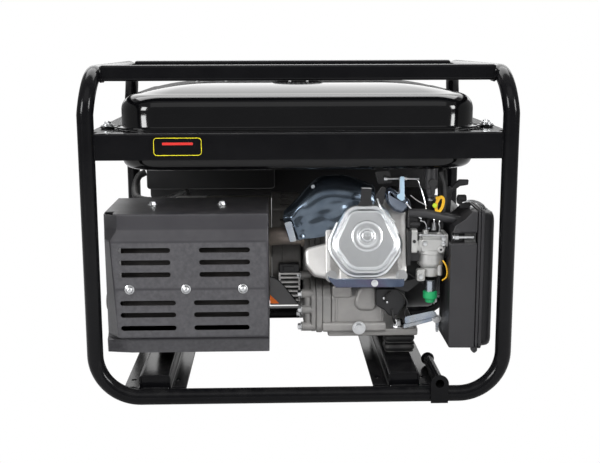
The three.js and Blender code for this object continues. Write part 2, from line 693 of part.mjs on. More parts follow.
function rearCover() {
  const { statorEnd, rearEnd, statorR } = alternator;
  const from = statorEnd - gap;
  const shell = turnedX([
    [13, rearEnd], [statorR - 12, rearEnd], [statorR, rearEnd + 12], [statorR, from], [statorR - 6, from],
    [statorR - 6, rearEnd + 14], [statorR - 14, rearEnd + 8], [13, rearEnd + 8], [13, rearEnd],
  ], 32);
  const foot = box(-258, -185, -70, 70, -112, -100);
  const web = box(-220, -190, -50, 50, -101, -92);
  const angles = [210, 222, 234, 306, 318, 330].map((deg) => deg - 180);
  return cut(joined(shell, foot, web), ...radialSlots(angles, -205, -175, statorR));
}

function rotorSolid() {
  const { r, left, right, shaftR } = rotor;
  const bore = crank.journalR + 0.7;
  const socket = -89;
  return turnedX([
    [0, -224], [shaftR, -224], [shaftR, left - 12], [r - 18, left - 12], [r - 18, left], [r, left], [r, right],
    [bore, right], [bore, socket], [0, socket], [0, -224],
  ], 24);
}

function alternatorGroup() {
  const { bracketEnd, statorEnd, statorR } = alternator;
  const stator = turnedX([
    [rotor.boreR, statorEnd], [statorR, statorEnd], [statorR, bracketEnd - gap], [rotor.boreR, bracketEnd - gap],
    [rotor.boreR, statorEnd],
  ], 32);
  return group(0, crank.y, crank.z,
    piece('alternator_front_bracket', frontBracket(), castAluminium()),
    piece('stator', stator, greyCast()),
    piece('alternator_rear_cover', rearCover(), castAluminium()),
    piece('rotor', rotorSolid(), steel()),
  );
}

// ---------------------------------------------------------------- mounts
function mountGroup() {
  const crown = baseRail.crownZ + gap;
  const blockBottom = crank.z + block.bottom - gap;
  const engineMount = () => box(-28, 28, -20, 20, 0, blockBottom - crown);
  const alternatorMount = cut(
    box(-18, 18, -65, 65, 0, crank.z - 112 - gap - crown), box(-30, 30, -32, 32, -1, 20),
  );
  return group(0, 0, crown,
    piece('front_engine_mount', engineMount(), rubber(), 178, -118),
    piece('rear_engine_mount', engineMount(), rubber(), 178, 106),
    piece('alternator_mount', alternatorMount, blackGloss(), baseRail.leftX, crank.y),
  );
}

// ---------------------------------------------------------------- control panel
function controlBox() {
  const { left, right, back, face, bottom, boxTop, top, wall, plateRight, plateBottom } = panel;
  const window = box(-286, -238, face - 1, face + 6, bottom + 58, bottom + 92);
  const tub = cut(
    slabXZ(roundedRect(left, right, bottom, boxTop, 8), back, face),
    box(left + wall, right - wall, back + wall, face - wall, bottom + wall, top),
  );
  return joined(tub, slabXZ(roundedRect(left, plateRight, plateBottom, top, 8), face - wall, face), window);
}

const socketBody = () => turnedZ([
  [0, 0], [27, 0], [27, 4], [24, 10], [19, 10], [19, 1.5], [0, 1.5],
], 24).rotateX(-Math.PI / 2);

function panelGroup() {
  const { left, face, bottom } = panel;
  const conduit = [
    [left - 4, 215, 322], [-307, 214.5, 320], [-316, 208, 314], [-322, 190, 294], [-310, 140, 282], [-272, 100, 292],
    [-228, 72, 314], [-208, 61, 309], [-205, 60, 298],
  ];
  const key = joined(bar('y', 11, 0, 5, 0, 0, 16), bar('y', 5, 4, 10, 0, 0, 10), box(-3, 3, 9, 16, -11, 11));
  const toggle = joined(bar('x', 5, -9, 9, 0, 0, 10), box(-9, 9, 0, 9, -5, 7));
  return group(0, 0, 0,
    piece('control_box', controlBox(), darkPlastic()),
    piece('left_socket', socketBody(), blackPlastic(), -160, face + gap, 345),
    piece('right_socket', socketBody(), blackPlastic(), -88, face + gap, 345),
    piece('engine_key', key, steel(), -262, face + gap, bottom + 24),
    piece('breaker_toggle', toggle, blackPlastic(), -212, face + 5 + gap, 345),
    piece('panel_conduit', hose(conduit, 7, 22), rubber()),
  );
}

const generator = new THREE.Group();
generator.add(frameGroup(), tankGroup(), engineGroup(), intakeGroup(), alternatorGroup(), mountGroup(), panelGroup());
generator.add(group(0, 0, 0,
  piece('exhaust_pipe', exhaustPipe(), steel()),
  piece('exhaust_shield', exhaustShield(), zinc()),
  piece('muffler', mufflerBody(), steel()),
  piece('muffler_cover', mufflerCover(), charcoal()),
));

export default generator;
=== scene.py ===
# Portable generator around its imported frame: tube frame, tank, engine, alternator, muffler and panel.
# Sizes below are millimetres in the frame's own axes; meshes are written in metres.
import math
import bmesh
import bpy
import numpy as np
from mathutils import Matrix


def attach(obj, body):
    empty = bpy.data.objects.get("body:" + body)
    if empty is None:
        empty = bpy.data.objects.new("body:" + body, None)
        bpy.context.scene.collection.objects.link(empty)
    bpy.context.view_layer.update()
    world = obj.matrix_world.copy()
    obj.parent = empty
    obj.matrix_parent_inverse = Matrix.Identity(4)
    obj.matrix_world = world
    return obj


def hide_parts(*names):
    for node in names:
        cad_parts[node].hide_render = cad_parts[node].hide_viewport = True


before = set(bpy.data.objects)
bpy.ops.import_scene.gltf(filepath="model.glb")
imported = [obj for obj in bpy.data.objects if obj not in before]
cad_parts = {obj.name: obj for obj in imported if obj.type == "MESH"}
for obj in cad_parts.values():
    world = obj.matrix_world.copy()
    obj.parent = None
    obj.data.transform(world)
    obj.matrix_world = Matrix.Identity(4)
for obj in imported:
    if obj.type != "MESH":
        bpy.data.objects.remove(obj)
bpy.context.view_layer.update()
base = "generator_frame"
tau = 2 * math.pi
print("frame loaded:", len(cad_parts), "nodes")


# Surface makers: each gives (vertices, faces) of one closed shell in millimetres.
def gridFaces(rows, cols, wrapRows=False, wrapCols=True):
    # Quads between neighbouring rows and columns of a grid, wrapped round where asked.
    r = np.arange(rows if wrapRows else rows - 1)[:, None]
    c = np.arange(cols if wrapCols else cols - 1)[None, :]
    nextR, nextC = (r + 1) % rows, (c + 1) % cols
    quads = np.stack([r * cols + c, r * cols + nextC, nextR * cols + nextC, nextR * cols + c], -1)
    return quads.reshape(-1, 4)


def gridShell(grid, wrapRows=False, caps=True):
    # A stack of closed rings, joined ring to ring and shut with one face at each end.
    rows, cols = grid.shape[:2]
    faces = gridFaces(rows, cols, wrapRows).tolist()
    if caps and not wrapRows:
        faces.append(list(range(cols))[::-1])
        faces.append(list(range((rows - 1) * cols, rows * cols)))
    return grid.reshape(-1, 3), faces


def circle(r, n=24):
    a = np.arange(n) * tau / n
    return np.stack([r * np.cos(a), r * np.sin(a)], -1)


def roundRect(a0, a1, b0, b1, r, n=5):
    # Four quarter circles, joined by straight sides.
    r = min(r, (a1 - a0) / 2 - 1e-3, (b1 - b0) / 2 - 1e-3)
    t = np.linspace(0, math.pi / 2, n + 1)
    corners = [(a1 - r, b1 - r, 0), (a0 + r, b1 - r, 1), (a0 + r, b0 + r, 2), (a1 - r, b0 + r, 3)]
    return np.concatenate([
        np.stack([a + r * np.cos(t + k * math.pi / 2), b + r * np.sin(t + k * math.pi / 2)], -1)
        for a, b, k in corners])


def roundPoly(points, r, n=4):
    # Each corner of a polygon swapped for an arc that touches both of its sides.
    pts = np.array(points, float)
    radii = np.broadcast_to(np.array(r, float), (len(pts),))
    out = []
    for i, p in enumerate(pts):
        u, v = pts[i - 1] - p, pts[(i + 1) % len(pts)] - p
        lu, lv = np.linalg.norm(u), np.linalg.norm(v)
        u, v = u / lu, v / lv
        half = math.acos(np.clip(np.dot(u, v), -1, 1)) / 2
        if radii[i] < 1e-6 or half > math.pi / 2 - 0.02:
            out.append(p[None])
            continue
        back = min(radii[i] / math.tan(half), lu * 0.49, lv * 0.49)
        radius = back * math.tan(half)
        centre = p + (u + v) / np.linalg.norm(u + v) * radius / math.sin(half)
        a0 = math.atan2(*(p + u * back - centre)[::-1])
        turn = (math.atan2(*(p + v * back - centre)[::-1]) - a0 + math.pi) % tau - math.pi
        a = a0 + turn * np.linspace(0, 1, n + 1)
        out.append(centre + radius * np.stack([np.cos(a), np.sin(a)], -1))
    return np.concatenate(out)


def area2(outline):
    x, y = outline[:, 0], outline[:, 1]
    return np.sum(x * np.roll(y, -1) - np.roll(x, -1) * y) / 2


def inward(outline, d):
    # An outline drawn in by d along the mean of the two normals at each point.
    side = np.roll(outline, -1, 0) - outline
    side /= np.maximum(np.linalg.norm(side, axis=1, keepdims=True), 1e-9)
    normal = np.stack([-side[:, 1], side[:, 0]], -1)
    mean = normal + np.roll(normal, 1, 0)
    length = np.maximum(np.sum(mean * mean, 1, keepdims=True), 0.4)
    return outline + d * 2 * mean / length


planes = {"xy": (0, 1, 2), "xz": (0, 2, 1), "yz": (1, 2, 0)}


def onPlane(flat, height, plane):
    # Two flat coordinates and a height, put in their own axes.
    a, b, h = planes[plane]
    out = np.empty(flat.shape[:-1] + (3,))
    out[..., a], out[..., b], out[..., h] = flat[..., 0], flat[..., 1], height
    return out


def plate(outline, h0, h1, plane="xz", edge=0.6, steps=3):
    # An outline carried from h0 to h1, its two rims rounded by quarter circles of radius edge.
    ring = np.array(outline, float)
    if area2(ring) < 0:
        ring = ring[::-1]
    edge = min(edge, (h1 - h0) * 0.49)
    if edge <= 0:
        levels = [(0, h0), (0, h1)]
    else:
        t = np.linspace(0, math.pi / 2, steps + 1)
        low = [(edge * (1 - math.sin(a)), h0 + edge * (1 - math.cos(a))) for a in t]
        levels = low + [(d, h1 - (h - h0)) for d, h in low[::-1]]
    grid = np.stack([onPlane(inward(ring, d), h, plane) for d, h in levels])
    return gridShell(grid)


def block(x0, x1, y0, y1, z0, z1, r=1.0, edge=None, plane="xy"):
    # A box with every edge rounded.
    spans = {"xy": (x0, x1, y0, y1, z0, z1), "xz": (x0, x1, z0, z1, y0, y1),
             "yz": (y0, y1, z0, z1, x0, x1)}[plane]
    return plate(roundRect(*spans[:4], r, 3), spans[4], spans[5], plane, r if edge is None else edge)


def turned(profile, axis="x", centre=(0, 0, 0), sides=48, wave=None):
    # Profile points (radius, distance) carried round an axis; wave(angle, radius) may change the radius.
    prof = np.array(profile, float)
    angle = np.arange(sides) * tau / sides
    r = np.repeat(prof[:, :1], sides, 1)
    if wave is not None:
        r = wave(angle[None, :], r)
    u, v, h = r * np.cos(angle), r * np.sin(angle), np.repeat(prof[:, 1:], sides, 1)
    grid = np.empty((len(prof), sides, 3))
    order = {"x": (1, 2, 0), "y": (2, 0, 1), "z": (0, 1, 2)}[axis]
    for k, part in zip(order, (u, v, h)):
        grid[..., k] = part + centre[k]
    closed = np.allclose(prof[0], prof[-1])
    return gridShell(grid[:-1] if closed else grid, wrapRows=closed)


def rod(axis, r, a, b, u, v, sides=24, edge=0.5):
    # A round bar from a to b with its two rims rounded.
    centre = {"x": (0, u, v), "y": (u, 0, v), "z": (u, v, 0)}[axis]
    e = min(edge, r * 0.5, (b - a) * 0.3)
    t = np.linspace(0, math.pi / 2, 4)
    low = [(r - e + e * math.sin(k), a + e - e * math.cos(k)) for k in t]
    return turned(low + [(d, a + b - h) for d, h in low[::-1]], axis, centre, sides)


def hexagon(axis, across, a, b, u, v, washer=0.0, dome=0.0):
    # A hexagon nut or bolt head with its rim cut away, on a washer.
    centre = {"x": (0, u, v), "y": (u, 0, v), "z": (u, v, 0)}[axis]
    sign = 1 if b > a else -1

    def facets(angle, r):
        flat = across / 2 / np.cos((angle + math.pi / 6) % (math.pi / 3) - math.pi / 6)
        return np.minimum(r, flat)

    full = across / 2 / math.cos(math.pi / 6)
    top = b - sign * 0.12 * across
    out = [turned([(full * 2, a), (full * 2, top), (full * 0.93, b)], axis, centre, 36, facets)]
    if washer:
        w = [(0.82 * across, a), (0.82 * across, a + sign * washer), (0.1, a + sign * washer)]
        out.append(turned(w, axis, centre, 28))
    if dome:
        out.append(turned([(0.3 * across, b - sign * 0.2), (0.3 * across, b + sign * dome)], axis, centre,
                          20))
    return out


def smoothPath(points, per=8):
    # A Catmull-Rom curve through the points.
    p = np.array(points, float)
    p = np.concatenate([2 * p[:1] - p[1:2], p, 2 * p[-1:] - p[-2:-1]])
    t = np.linspace(0, 1, per, endpoint=False)[:, None]
    runs = []
    for a, b, c, d in zip(p, p[1:], p[2:], p[3:]):
        bent = (2 * a - 5 * b + 4 * c - d) * t ** 2 + (3 * b - a - 3 * c + d) * t ** 3
        runs.append(0.5 * (2 * b + (c - a) * t + bent))
    return np.concatenate(runs + [p[-2:-1]])


def sweep(path, section, closed=False, scale=None, first=None):
    # A flat outline carried along a path; its frame turns with the path by the least amount.
    p = np.array(path, float)
    ahead = np.roll(p, -1, 0) - p if closed else np.gradient(p, axis=0)
    if closed:
        ahead = ahead + np.roll(ahead, 1, 0)
    ahead /= np.linalg.norm(ahead, axis=1, keepdims=True)
    side = np.array(first if first is not None else (0.0, 0.0, 1.0))
    if abs(np.dot(side, ahead[0])) > 0.9:
        side = np.array((0.0, 1.0, 0.0))
    sides = []
    for tangent in ahead:
        side = side - tangent * np.dot(side, tangent)
        side = side / np.linalg.norm(side)
        sides.append(side)
    sides = np.array(sides)
    other = np.cross(ahead, sides)
    k = np.ones(len(p)) if scale is None else np.array(scale, float)
    sec = np.array(section, float)
    grid = (p[:, None] + k[:, None, None] * (
        sec[None, :, :1] * sides[:, None] + sec[None, :, 1:] * other[:, None]))
    return gridShell(grid, wrapRows=closed)


def tube(points, r, sides, per=8):
    # A round bar along a smooth curve through the points.
    return sweep(smoothPath(points, per), circle(r, sides))


def sheet(points, radii, n, y0, y1, edge=0.6, steps=3):
    # A flat piece that faces the front: a polygon with rounded corners, from y0 to y1.
    return plate(roundPoly(points, radii, n), y0, y1, "xz", edge, steps)


def place(ob):
    bpy.context.scene.collection.objects.link(ob)
    return ob


def moved(shell, by=(0, 0, 0)):
    return shell[0] + np.array(by, float), shell[1]


def spun(shell, axis, degrees, about=(0, 0, 0)):
    # A shell turned about an axis through a point.
    a = math.radians(degrees)
    c, s = math.cos(a), math.sin(a)
    m = {"x": [[1, 0, 0], [0, c, -s], [0, s, c]], "y": [[c, 0, s], [0, 1, 0], [-s, 0, c]],
         "z": [[c, -s, 0], [s, c, 0], [0, 0, 1]]}[axis]
    o = np.array(about, float)
    return (shell[0] - o) @ np.array(m).T + o, shell[1]


def mirrored(shell, axis):
    v = shell[0].copy()
    v[:, "xyz".index(axis)] *= -1
    return v, shell[1]


def flat(*groups):
    # Shells and lists of shells as one list.
    out = []
    for g in groups:
        out.extend(g if isinstance(g, list) else [g])
    return out


def meshOf(name, shells, angle=32):
    # One mesh from many shells: doubles merged, normals turned outwards, sharp edges marked.
    verts, faces, start = [], [], 0
    for v, f in shells:
        verts.append(v)
        faces.extend([[i + start for i in face] for face in f])
        start += len(v)
    mesh = bpy.data.meshes.new(name)
    mesh.from_pydata((np.concatenate(verts) / 1000).tolist(), [], faces)
    bm = bmesh.new()
    bm.from_mesh(mesh)
    bmesh.ops.remove_doubles(bm, verts=bm.verts, dist=2e-6)
    bmesh.ops.dissolve_degenerate(bm, dist=1e-6, edges=bm.edges)
    bmesh.ops.recalc_face_normals(bm, faces=bm.faces)
    bm.to_mesh(mesh)
    bm.free()
    shadeBy(mesh, angle)
    return mesh


def shadeBy(mesh, angle):
    mesh.polygons.foreach_set("use_smooth", np.ones(len(mesh.polygons), bool))
    mesh.set_sharp_from_angle(angle=math.radians(angle))
    mesh.update()


def evenNormals(ob):
    # Big flat faces keep their own normal next to small rounded edges.
    mod = ob.modifiers.new("evenNormals", "WEIGHTED_NORMAL")
    mod.keep_sharp = True
    mod.weight = 90


def piece(name, shells, material, body=base, nodes=(), angle=32, even=True):
    # Shells made one named object that rides on a body, stands for CAD nodes and takes its finish.
    ob = place(bpy.data.objects.new(name, meshOf(name, flat(shells), angle)))
    ob.data.materials.append(material)
    if even:
        evenNormals(ob)
    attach(ob, body)
    if nodes:
        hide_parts(*nodes)
    return ob


def cutAway(ob, shells, bevel=0.0, angle=32):
    # Cutting shells taken out of a piece for good, with the new edges softened where asked.
    tool = place(bpy.data.objects.new("cutter", meshOf("cutter", flat(shells))))
    ob.modifiers.clear()
    mod = ob.modifiers.new("cut", "BOOLEAN")
    mod.operation, mod.object, mod.solver = "DIFFERENCE", tool, "EXACT"
    mod.use_self = True
    bakeMesh(ob)
    bpy.data.objects.remove(tool, do_unlink=True)
    if bevel:
        soft = ob.modifiers.new("soft", "BEVEL")
        soft.width, soft.segments, soft.limit_method = bevel / 1000, 2, "ANGLE"
        soft.angle_limit = math.radians(40)
        bakeMesh(ob)
    shadeBy(ob.data, angle)
    evenNormals(ob)


def bakeMesh(ob):
    # The piece's modifiers made part of its mesh.
    graph = bpy.context.evaluated_depsgraph_get()
    done = bpy.data.meshes.new_from_object(ob.evaluated_get(graph), depsgraph=graph)
    done.name = ob.data.name
    ob.modifiers.clear()
    ob.data = done


# Shared effects, built once as node groups that put out a height, a roughness, a tone or a mask.
def nodeGroup(name, inputs, outputs):
    tree = bpy.data.node_groups.new(name, "ShaderNodeTree")
    for label, kind, value in inputs:
        sock = tree.interface.new_socket(label, in_out="INPUT", socket_type=kind)
        sock.default_value = value
    for label, kind in outputs:
        tree.interface.new_socket(label, in_out="OUTPUT", socket_type=kind)
    return tree, tree.nodes.new("NodeGroupInput"), tree.nodes.new("NodeGroupOutput")


def add(tree, kind, links=None, **values):
    # A node with its sockets set by name or number and its inputs linked.
    node = tree.nodes.new(kind)
    for key, value in values.items():
        if hasattr(node, key):
            setattr(node, key, value)
        else:
            node.inputs[key.replace("_", " ")].default_value = value
    for key, source in (links or {}).items():
        tree.links.new(source, node.inputs[key])
    return node


floatSock = "NodeSocketFloat"


def times(tree, a, b):
    return add(tree, "ShaderNodeMath", {0: a, 1: b}, operation="MULTIPLY").outputs[0]


def makeGrain():
    # Fine noise as a height for bumps, and a slow noise for changes of roughness and tone.
    tree, given, out = nodeGroup("surfaceGrain", [
        ("Fine", floatSock, 900.0), ("Coarse", floatSock, 14.0), ("Roughness", floatSock, 0.3),
        ("Spread", floatSock, 0.08)], [("Height", floatSock), ("Roughness", floatSock), ("Tone", floatSock)])
    spot = add(tree, "ShaderNodeTexCoord")
    fine = add(tree, "ShaderNodeTexNoise", {"Vector": spot.outputs["Object"],
            "Scale": given.outputs["Fine"]}, Detail=3.0, Roughness=0.6)
    slow = add(tree, "ShaderNodeTexNoise", {"Vector": spot.outputs["Object"],
            "Scale": given.outputs["Coarse"]}, Detail=5.0, Roughness=0.6)
    centred = add(tree, "ShaderNodeMath", {0: slow.outputs["Fac"]}, operation="SUBTRACT")
    centred.inputs[1].default_value = 0.5
    spread = times(tree, centred.outputs[0], given.outputs["Spread"])
    rough = add(tree, "ShaderNodeMath", {0: spread, 1: given.outputs["Roughness"]}, operation="ADD")
    tree.links.new(fine.outputs["Fac"], out.inputs["Height"])
    tree.links.new(rough.outputs[0], out.inputs[1])
    tree.links.new(slow.outputs["Fac"], out.inputs["Tone"])
    return tree


def makeDust():
    # A mask that is strongest on faces that look up, broken by noise.
    tree, given, out = nodeGroup("settledDust", [("Amount", floatSock, 0.3)], [("Mask", floatSock)])
    spot = add(tree, "ShaderNodeTexCoord")
    shape = add(tree, "ShaderNodeNewGeometry")
    split = add(tree, "ShaderNodeSeparateXYZ", {0: shape.outputs["Normal"]})
    up = add(tree, "ShaderNodeMapRange", {0: split.outputs["Z"]})
    up.inputs[1].default_value, up.inputs[2].default_value = 0.2, 1.0
    noise = add(tree, "ShaderNodeTexNoise", {"Vector": spot.outputs["Object"]}, Scale=60.0, Detail=6.0)
    patch = add(tree, "ShaderNodeMapRange", {0: noise.outputs["Fac"]})
    patch.inputs[1].default_value, patch.inputs[2].default_value = 0.35, 0.75
    final = times(tree, times(tree, up.outputs[0], patch.outputs[0]), given.outputs["Amount"])
    tree.links.new(final, out.inputs["Mask"])
    return tree


def makeWear():
    # A mask along raised edges, from how sharply the surface turns there.
    tree, given, out = nodeGroup("edgeWear", [("Amount", floatSock, 0.5)], [("Mask", floatSock)])
    shape = add(tree, "ShaderNodeNewGeometry")
    sharp = add(tree, "ShaderNodeMapRange", {0: shape.outputs["Pointiness"]})
    sharp.inputs[1].default_value, sharp.inputs[2].default_value = 0.52, 0.6
    spot = add(tree, "ShaderNodeTexCoord")
    noise = add(tree, "ShaderNodeTexNoise", {"Vector": spot.outputs["Object"]}, Scale=180.0, Detail=4.0)
    final = times(tree, times(tree, sharp.outputs[0], noise.outputs["Fac"]), given.outputs["Amount"])
    tree.links.new(final, out.inputs["Mask"])
    return tree


effects = {"grain": makeGrain(), "dust": makeDust(), "wear": makeWear()}


def finish(name, colour, shade=None, rough=0.4, metal=0.0, fine=900.0, coarse=14.0, spread=0.08, bump=0.1,
           depth=0.0002, dust=0.0, wear=0.0, wearColour=(0.5, 0.5, 0.5), specular=0.5, vary=None):
    # One material: two tones mixed by slow noise, dust and worn edges over them, grain in the bump.
    # vary holds how much of a colour film shows, the scale of its noise and its three colours.
    mat = bpy.data.materials.new(name)
    mat.use_nodes = True
    tree = mat.node_tree
    shader = tree.nodes["Principled BSDF"]
    grain = add(tree, "ShaderNodeGroup")
    grain.node_tree = effects["grain"]
    for key, value in (("Fine", fine), ("Coarse", coarse), ("Roughness", rough), ("Spread", spread)):
        grain.inputs[key].default_value = value
    ramp = add(tree, "ShaderNodeMapRange", {0: grain.outputs["Tone"]})
    ramp.inputs[1].default_value, ramp.inputs[2].default_value = 0.35, 0.65
    mix = add(tree, "ShaderNodeMix", {0: ramp.outputs[0]}, data_type="RGBA")
    mix.inputs[6].default_value = (*colour, 1)
    mix.inputs[7].default_value = (*(shade or tuple(c * 0.8 for c in colour)), 1)
    result = mix.outputs[2]
    if vary:
        spot = add(tree, "ShaderNodeTexCoord")
        cloud = add(tree, "ShaderNodeTexNoise", {"Vector": spot.outputs["Object"]}, Scale=vary[1],
                    Detail=2.0)
        film = add(tree, "ShaderNodeValToRGB", {0: cloud.outputs["Fac"]})
        stops = film.color_ramp.elements
        stops[0].position, stops[1].position = 0.3, 0.7
        stops[0].color, stops[1].color = (*vary[2], 1), (*vary[4], 1)
        middle = stops.new(0.5)
        middle.color = (*vary[3], 1)
        blend = add(tree, "ShaderNodeMix", {6: result, 7: film.outputs[0]}, data_type="RGBA")
        blend.inputs[0].default_value = vary[0]
        result = blend.outputs[2]
    for key, amount, colourOver in (("dust", dust, (0.55, 0.53, 0.5)), ("wear", wear, wearColour)):
        if amount:
            mask = add(tree, "ShaderNodeGroup")
            mask.node_tree = effects[key]
            mask.inputs["Amount"].default_value = amount
            over = add(tree, "ShaderNodeMix", {0: mask.outputs[0], 6: result}, data_type="RGBA")
            over.inputs[7].default_value = (*colourOver, 1)
            result = over.outputs[2]
    tree.links.new(result, shader.inputs["Base Color"])
    tree.links.new(grain.outputs[1], shader.inputs["Roughness"])
    shader.inputs["Metallic"].default_value = metal
    shader.inputs["Specular IOR Level"].default_value = specular
    if bump:
        relief = add(tree, "ShaderNodeBump", {"Height": grain.outputs["Height"]}, Strength=bump,
                     Distance=depth)
        tree.links.new(relief.outputs[0], shader.inputs["Normal"])
    return mat


paint = finish("framePaint", (0.0024, 0.0024, 0.0030), (0.0034, 0.0034, 0.004), 0.17, fine=420, coarse=30,
               spread=0.06, bump=0.03, specular=0.17, dust=0.01)
tankPaint = finish("tankPaint", (0.0018, 0.0018, 0.0022), (0.0026, 0.0026, 0.003), 0.1, fine=300, coarse=9,
                   spread=0.04, bump=0.008, specular=0.36, dust=0.0)
satinPaint = finish("shroudPaint", (0.007, 0.007, 0.008), (0.010, 0.010, 0.011), 0.33, fine=700, bump=0.07,
                    dust=0.05, specular=0.35)
charcoal = finish("coverPaint", (0.022, 0.021, 0.025), (0.026, 0.025, 0.029), 0.42, fine=1300, coarse=20,
                  bump=0.22, dust=0.06, wear=0.25, wearColour=(0.25, 0.25, 0.26))
cast = finish("brightCasting", (0.68, 0.67, 0.66), (0.60, 0.59, 0.575), 0.44, 0.7, 1100, 26, 0.12, 0.35,
              0.0003, dust=0.1, wear=0.2, wearColour=(0.75, 0.74, 0.72))
greyCast = finish("engineCasting", (0.32, 0.31, 0.30), (0.26, 0.255, 0.25), 0.5, 0.45, 800, 22, 0.12, 0.45,
                  0.0004, dust=0.15, wear=0.25, wearColour=(0.5, 0.5, 0.49))
polished = finish("polishedCover", (0.78, 0.80, 0.81), (0.72, 0.74, 0.76), 0.33, 1.0, 500, 30, 0.05, 0.003)
zinc = finish("zincPlate", (0.34, 0.38, 0.42), (0.28, 0.32, 0.38), 0.26, 0.95, 600, 40, 0.14, 0.06, wear=0.1,
              vary=(0.35, 38.0, (0.36, 0.43, 0.58), (0.62, 0.66, 0.70), (0.66, 0.60, 0.50)))
blueShield = finish("shieldZinc", (0.13, 0.16, 0.195), (0.085, 0.11, 0.145), 0.2, 0.95, 700, 34, 0.2, 0.05,
                    vary=(0.16, 9.0, (0.06, 0.085, 0.12), (0.17, 0.21, 0.255), (0.10, 0.13, 0.16)))
purpleZinc = finish("deflectorZinc", (0.055, 0.072, 0.105), (0.045, 0.052, 0.085), 0.24, 0.9, 700, 34, 0.2,
                    0.06, vary=(0.5, 18.0, (0.04, 0.06, 0.12), (0.16, 0.20, 0.28), (0.16, 0.12, 0.20)))
brightSteel = finish("brightSteel", (0.78, 0.79, 0.80), (0.68, 0.69, 0.70), 0.3, 1.0, 900, 60, 0.12, 0.08)
heatSteel = finish("exhaustSteel", (0.30, 0.26, 0.22), (0.20, 0.17, 0.16), 0.5, 0.8, 600, 30, 0.2, 0.2)
mufflerSteel = finish("mufflerSteel", (0.045, 0.042, 0.041), (0.034, 0.031, 0.030), 0.6, 0.6, 500, 18, 0.2,
        0.3)
iron = finish("flywheelIron", (0.20, 0.20, 0.20), (0.15, 0.15, 0.15), 0.5, 0.7, 700, 20, 0.15, 0.4)
blackPlastic = finish("blackPlastic", (0.008, 0.008, 0.009), (0.011, 0.011, 0.012), 0.4, 0.0, 1500, 30, 0.06,
        0.18, dust=0.05)
greyPlastic = finish("darkPlastic", (0.016, 0.0155, 0.0175), (0.020, 0.0195, 0.0215), 0.42, 0.0, 1600, 24,
        0.06, 0.2, dust=0.07)
rubber = finish("rubber", (0.007, 0.007, 0.008), (0.011, 0.011, 0.011), 0.6, 0.0, 900, 30, 0.1, 0.25,
                dust=0.12)
foam = finish("filterFoam", (0.10, 0.10, 0.10), (0.05, 0.05, 0.05), 0.9, 0.0, 420, 60, 0.05, 0.9, 0.001)
carbCast = finish("carburettorCasting", (0.50, 0.50, 0.49), (0.42, 0.42, 0.41), 0.34, 0.6, 1300, 40, 0.12,
                  0.22, 0.0002, wear=0.1, wearColour=(0.75, 0.75, 0.74))
darkChrome = finish("darkChrome", (0.20, 0.23, 0.28), (0.13, 0.155, 0.20), 0.14, 0.9, 500, 30, 0.06, 0.03)
hoseRubber = finish("hoseRubber", (0.015, 0.015, 0.017), (0.021, 0.021, 0.023), 0.45, fine=900, bump=0.2,
                    dust=0.08)
airBlack = finish("coverPlastic", (0.0055, 0.0055, 0.0065), (0.007, 0.007, 0.008), 0.45, fine=1500,
                  coarse=24, bump=0.22)
panelPaint = finish("panelPaint", (0.004, 0.004, 0.005), (0.0055, 0.0055, 0.0065), 0.36, fine=1300, bump=0.2,
                    dust=0.06)
# A darker copy of the engine casting: painted shade for the alternator's front casting, which sits in shadow.
castInShade = finish("shadedCasting", (0.13, 0.125, 0.12), (0.095, 0.09, 0.085), 0.5, 0.4, 900, 22, 0.12, 0.35,
                  0.0003, dust=0.1)
satinGrey = finish("satinGreyPaint", (0.10, 0.098, 0.10), (0.085, 0.083, 0.085), 0.4, 0.3, 900, 20, 0.1,
                   0.12)
stack = finish("statorSteel", (0.33, 0.31, 0.28), (0.25, 0.235, 0.21), 0.42, 0.55, 900, 20, 0.12, 0.2)
green = finish("greenPlastic", (0.014, 0.376, 0.130), (0.012, 0.32, 0.11), 0.38, fine=1200, bump=0.1)
yellow = finish("yellowPlastic", (0.74, 0.42, 0.01), (0.66, 0.36, 0.01), 0.4, fine=1200, bump=0.1)
lime = finish("limeMark", (0.45, 0.62, 0.02), (0.40, 0.55, 0.02), 0.45, fine=900, bump=0.05)
orange = finish("orangeLabel", (0.80, 0.16, 0.01), (0.74, 0.14, 0.01), 0.45, fine=900, bump=0.03)
tagYellow = finish("tagYellow", (0.80, 0.70, 0.01), (0.76, 0.66, 0.01), 0.45, fine=900, bump=0.03)
red = finish("redPlastic", (0.55, 0.02, 0.015), (0.5, 0.02, 0.015), 0.35, fine=900, bump=0.05)
paleBlue = finish("paleBluePaint", (0.42, 0.58, 0.70), (0.38, 0.53, 0.66), 0.35, 0.2, 900, 30, 0.1, 0.06)
white = finish("whiteDial", (0.75, 0.75, 0.73), (0.70, 0.70, 0.68), 0.5, fine=900, bump=0.03)
copper = finish("copperWire", (0.55, 0.24, 0.11), (0.42, 0.17, 0.08), 0.35, 0.9, 1200, 60, 0.1, 0.2)
print("materials ready:", len(bpy.data.materials))


# Camera, floor and lights.
view = {"place": (-0.0412, -1.7901, 0.579), "yaw": 1.58, "pitch": 10.8, "roll": 0.17, "lens": 58.99}


def makeCamera():
    cam = bpy.data.cameras.new("camera")
    cam.lens, cam.sensor_width = view["lens"], 36
    ob = bpy.data.objects.new("camera", cam)
    ob.location = view["place"]
    ob.rotation_euler = (math.radians(90 - view["pitch"]), math.radians(view["roll"]),
            math.radians(-view["yaw"]))
    bpy.context.scene.collection.objects.link(ob)
    bpy.context.scene.camera = ob


studio = {"floorHalf": 7.0, "floorRise": 0.25, "bend": 0.2, "sky": 1.0, "skyGlow": 0.28,
          "floorColour": (0.42, 0.42, 0.425), "floorSeen": 1.0}


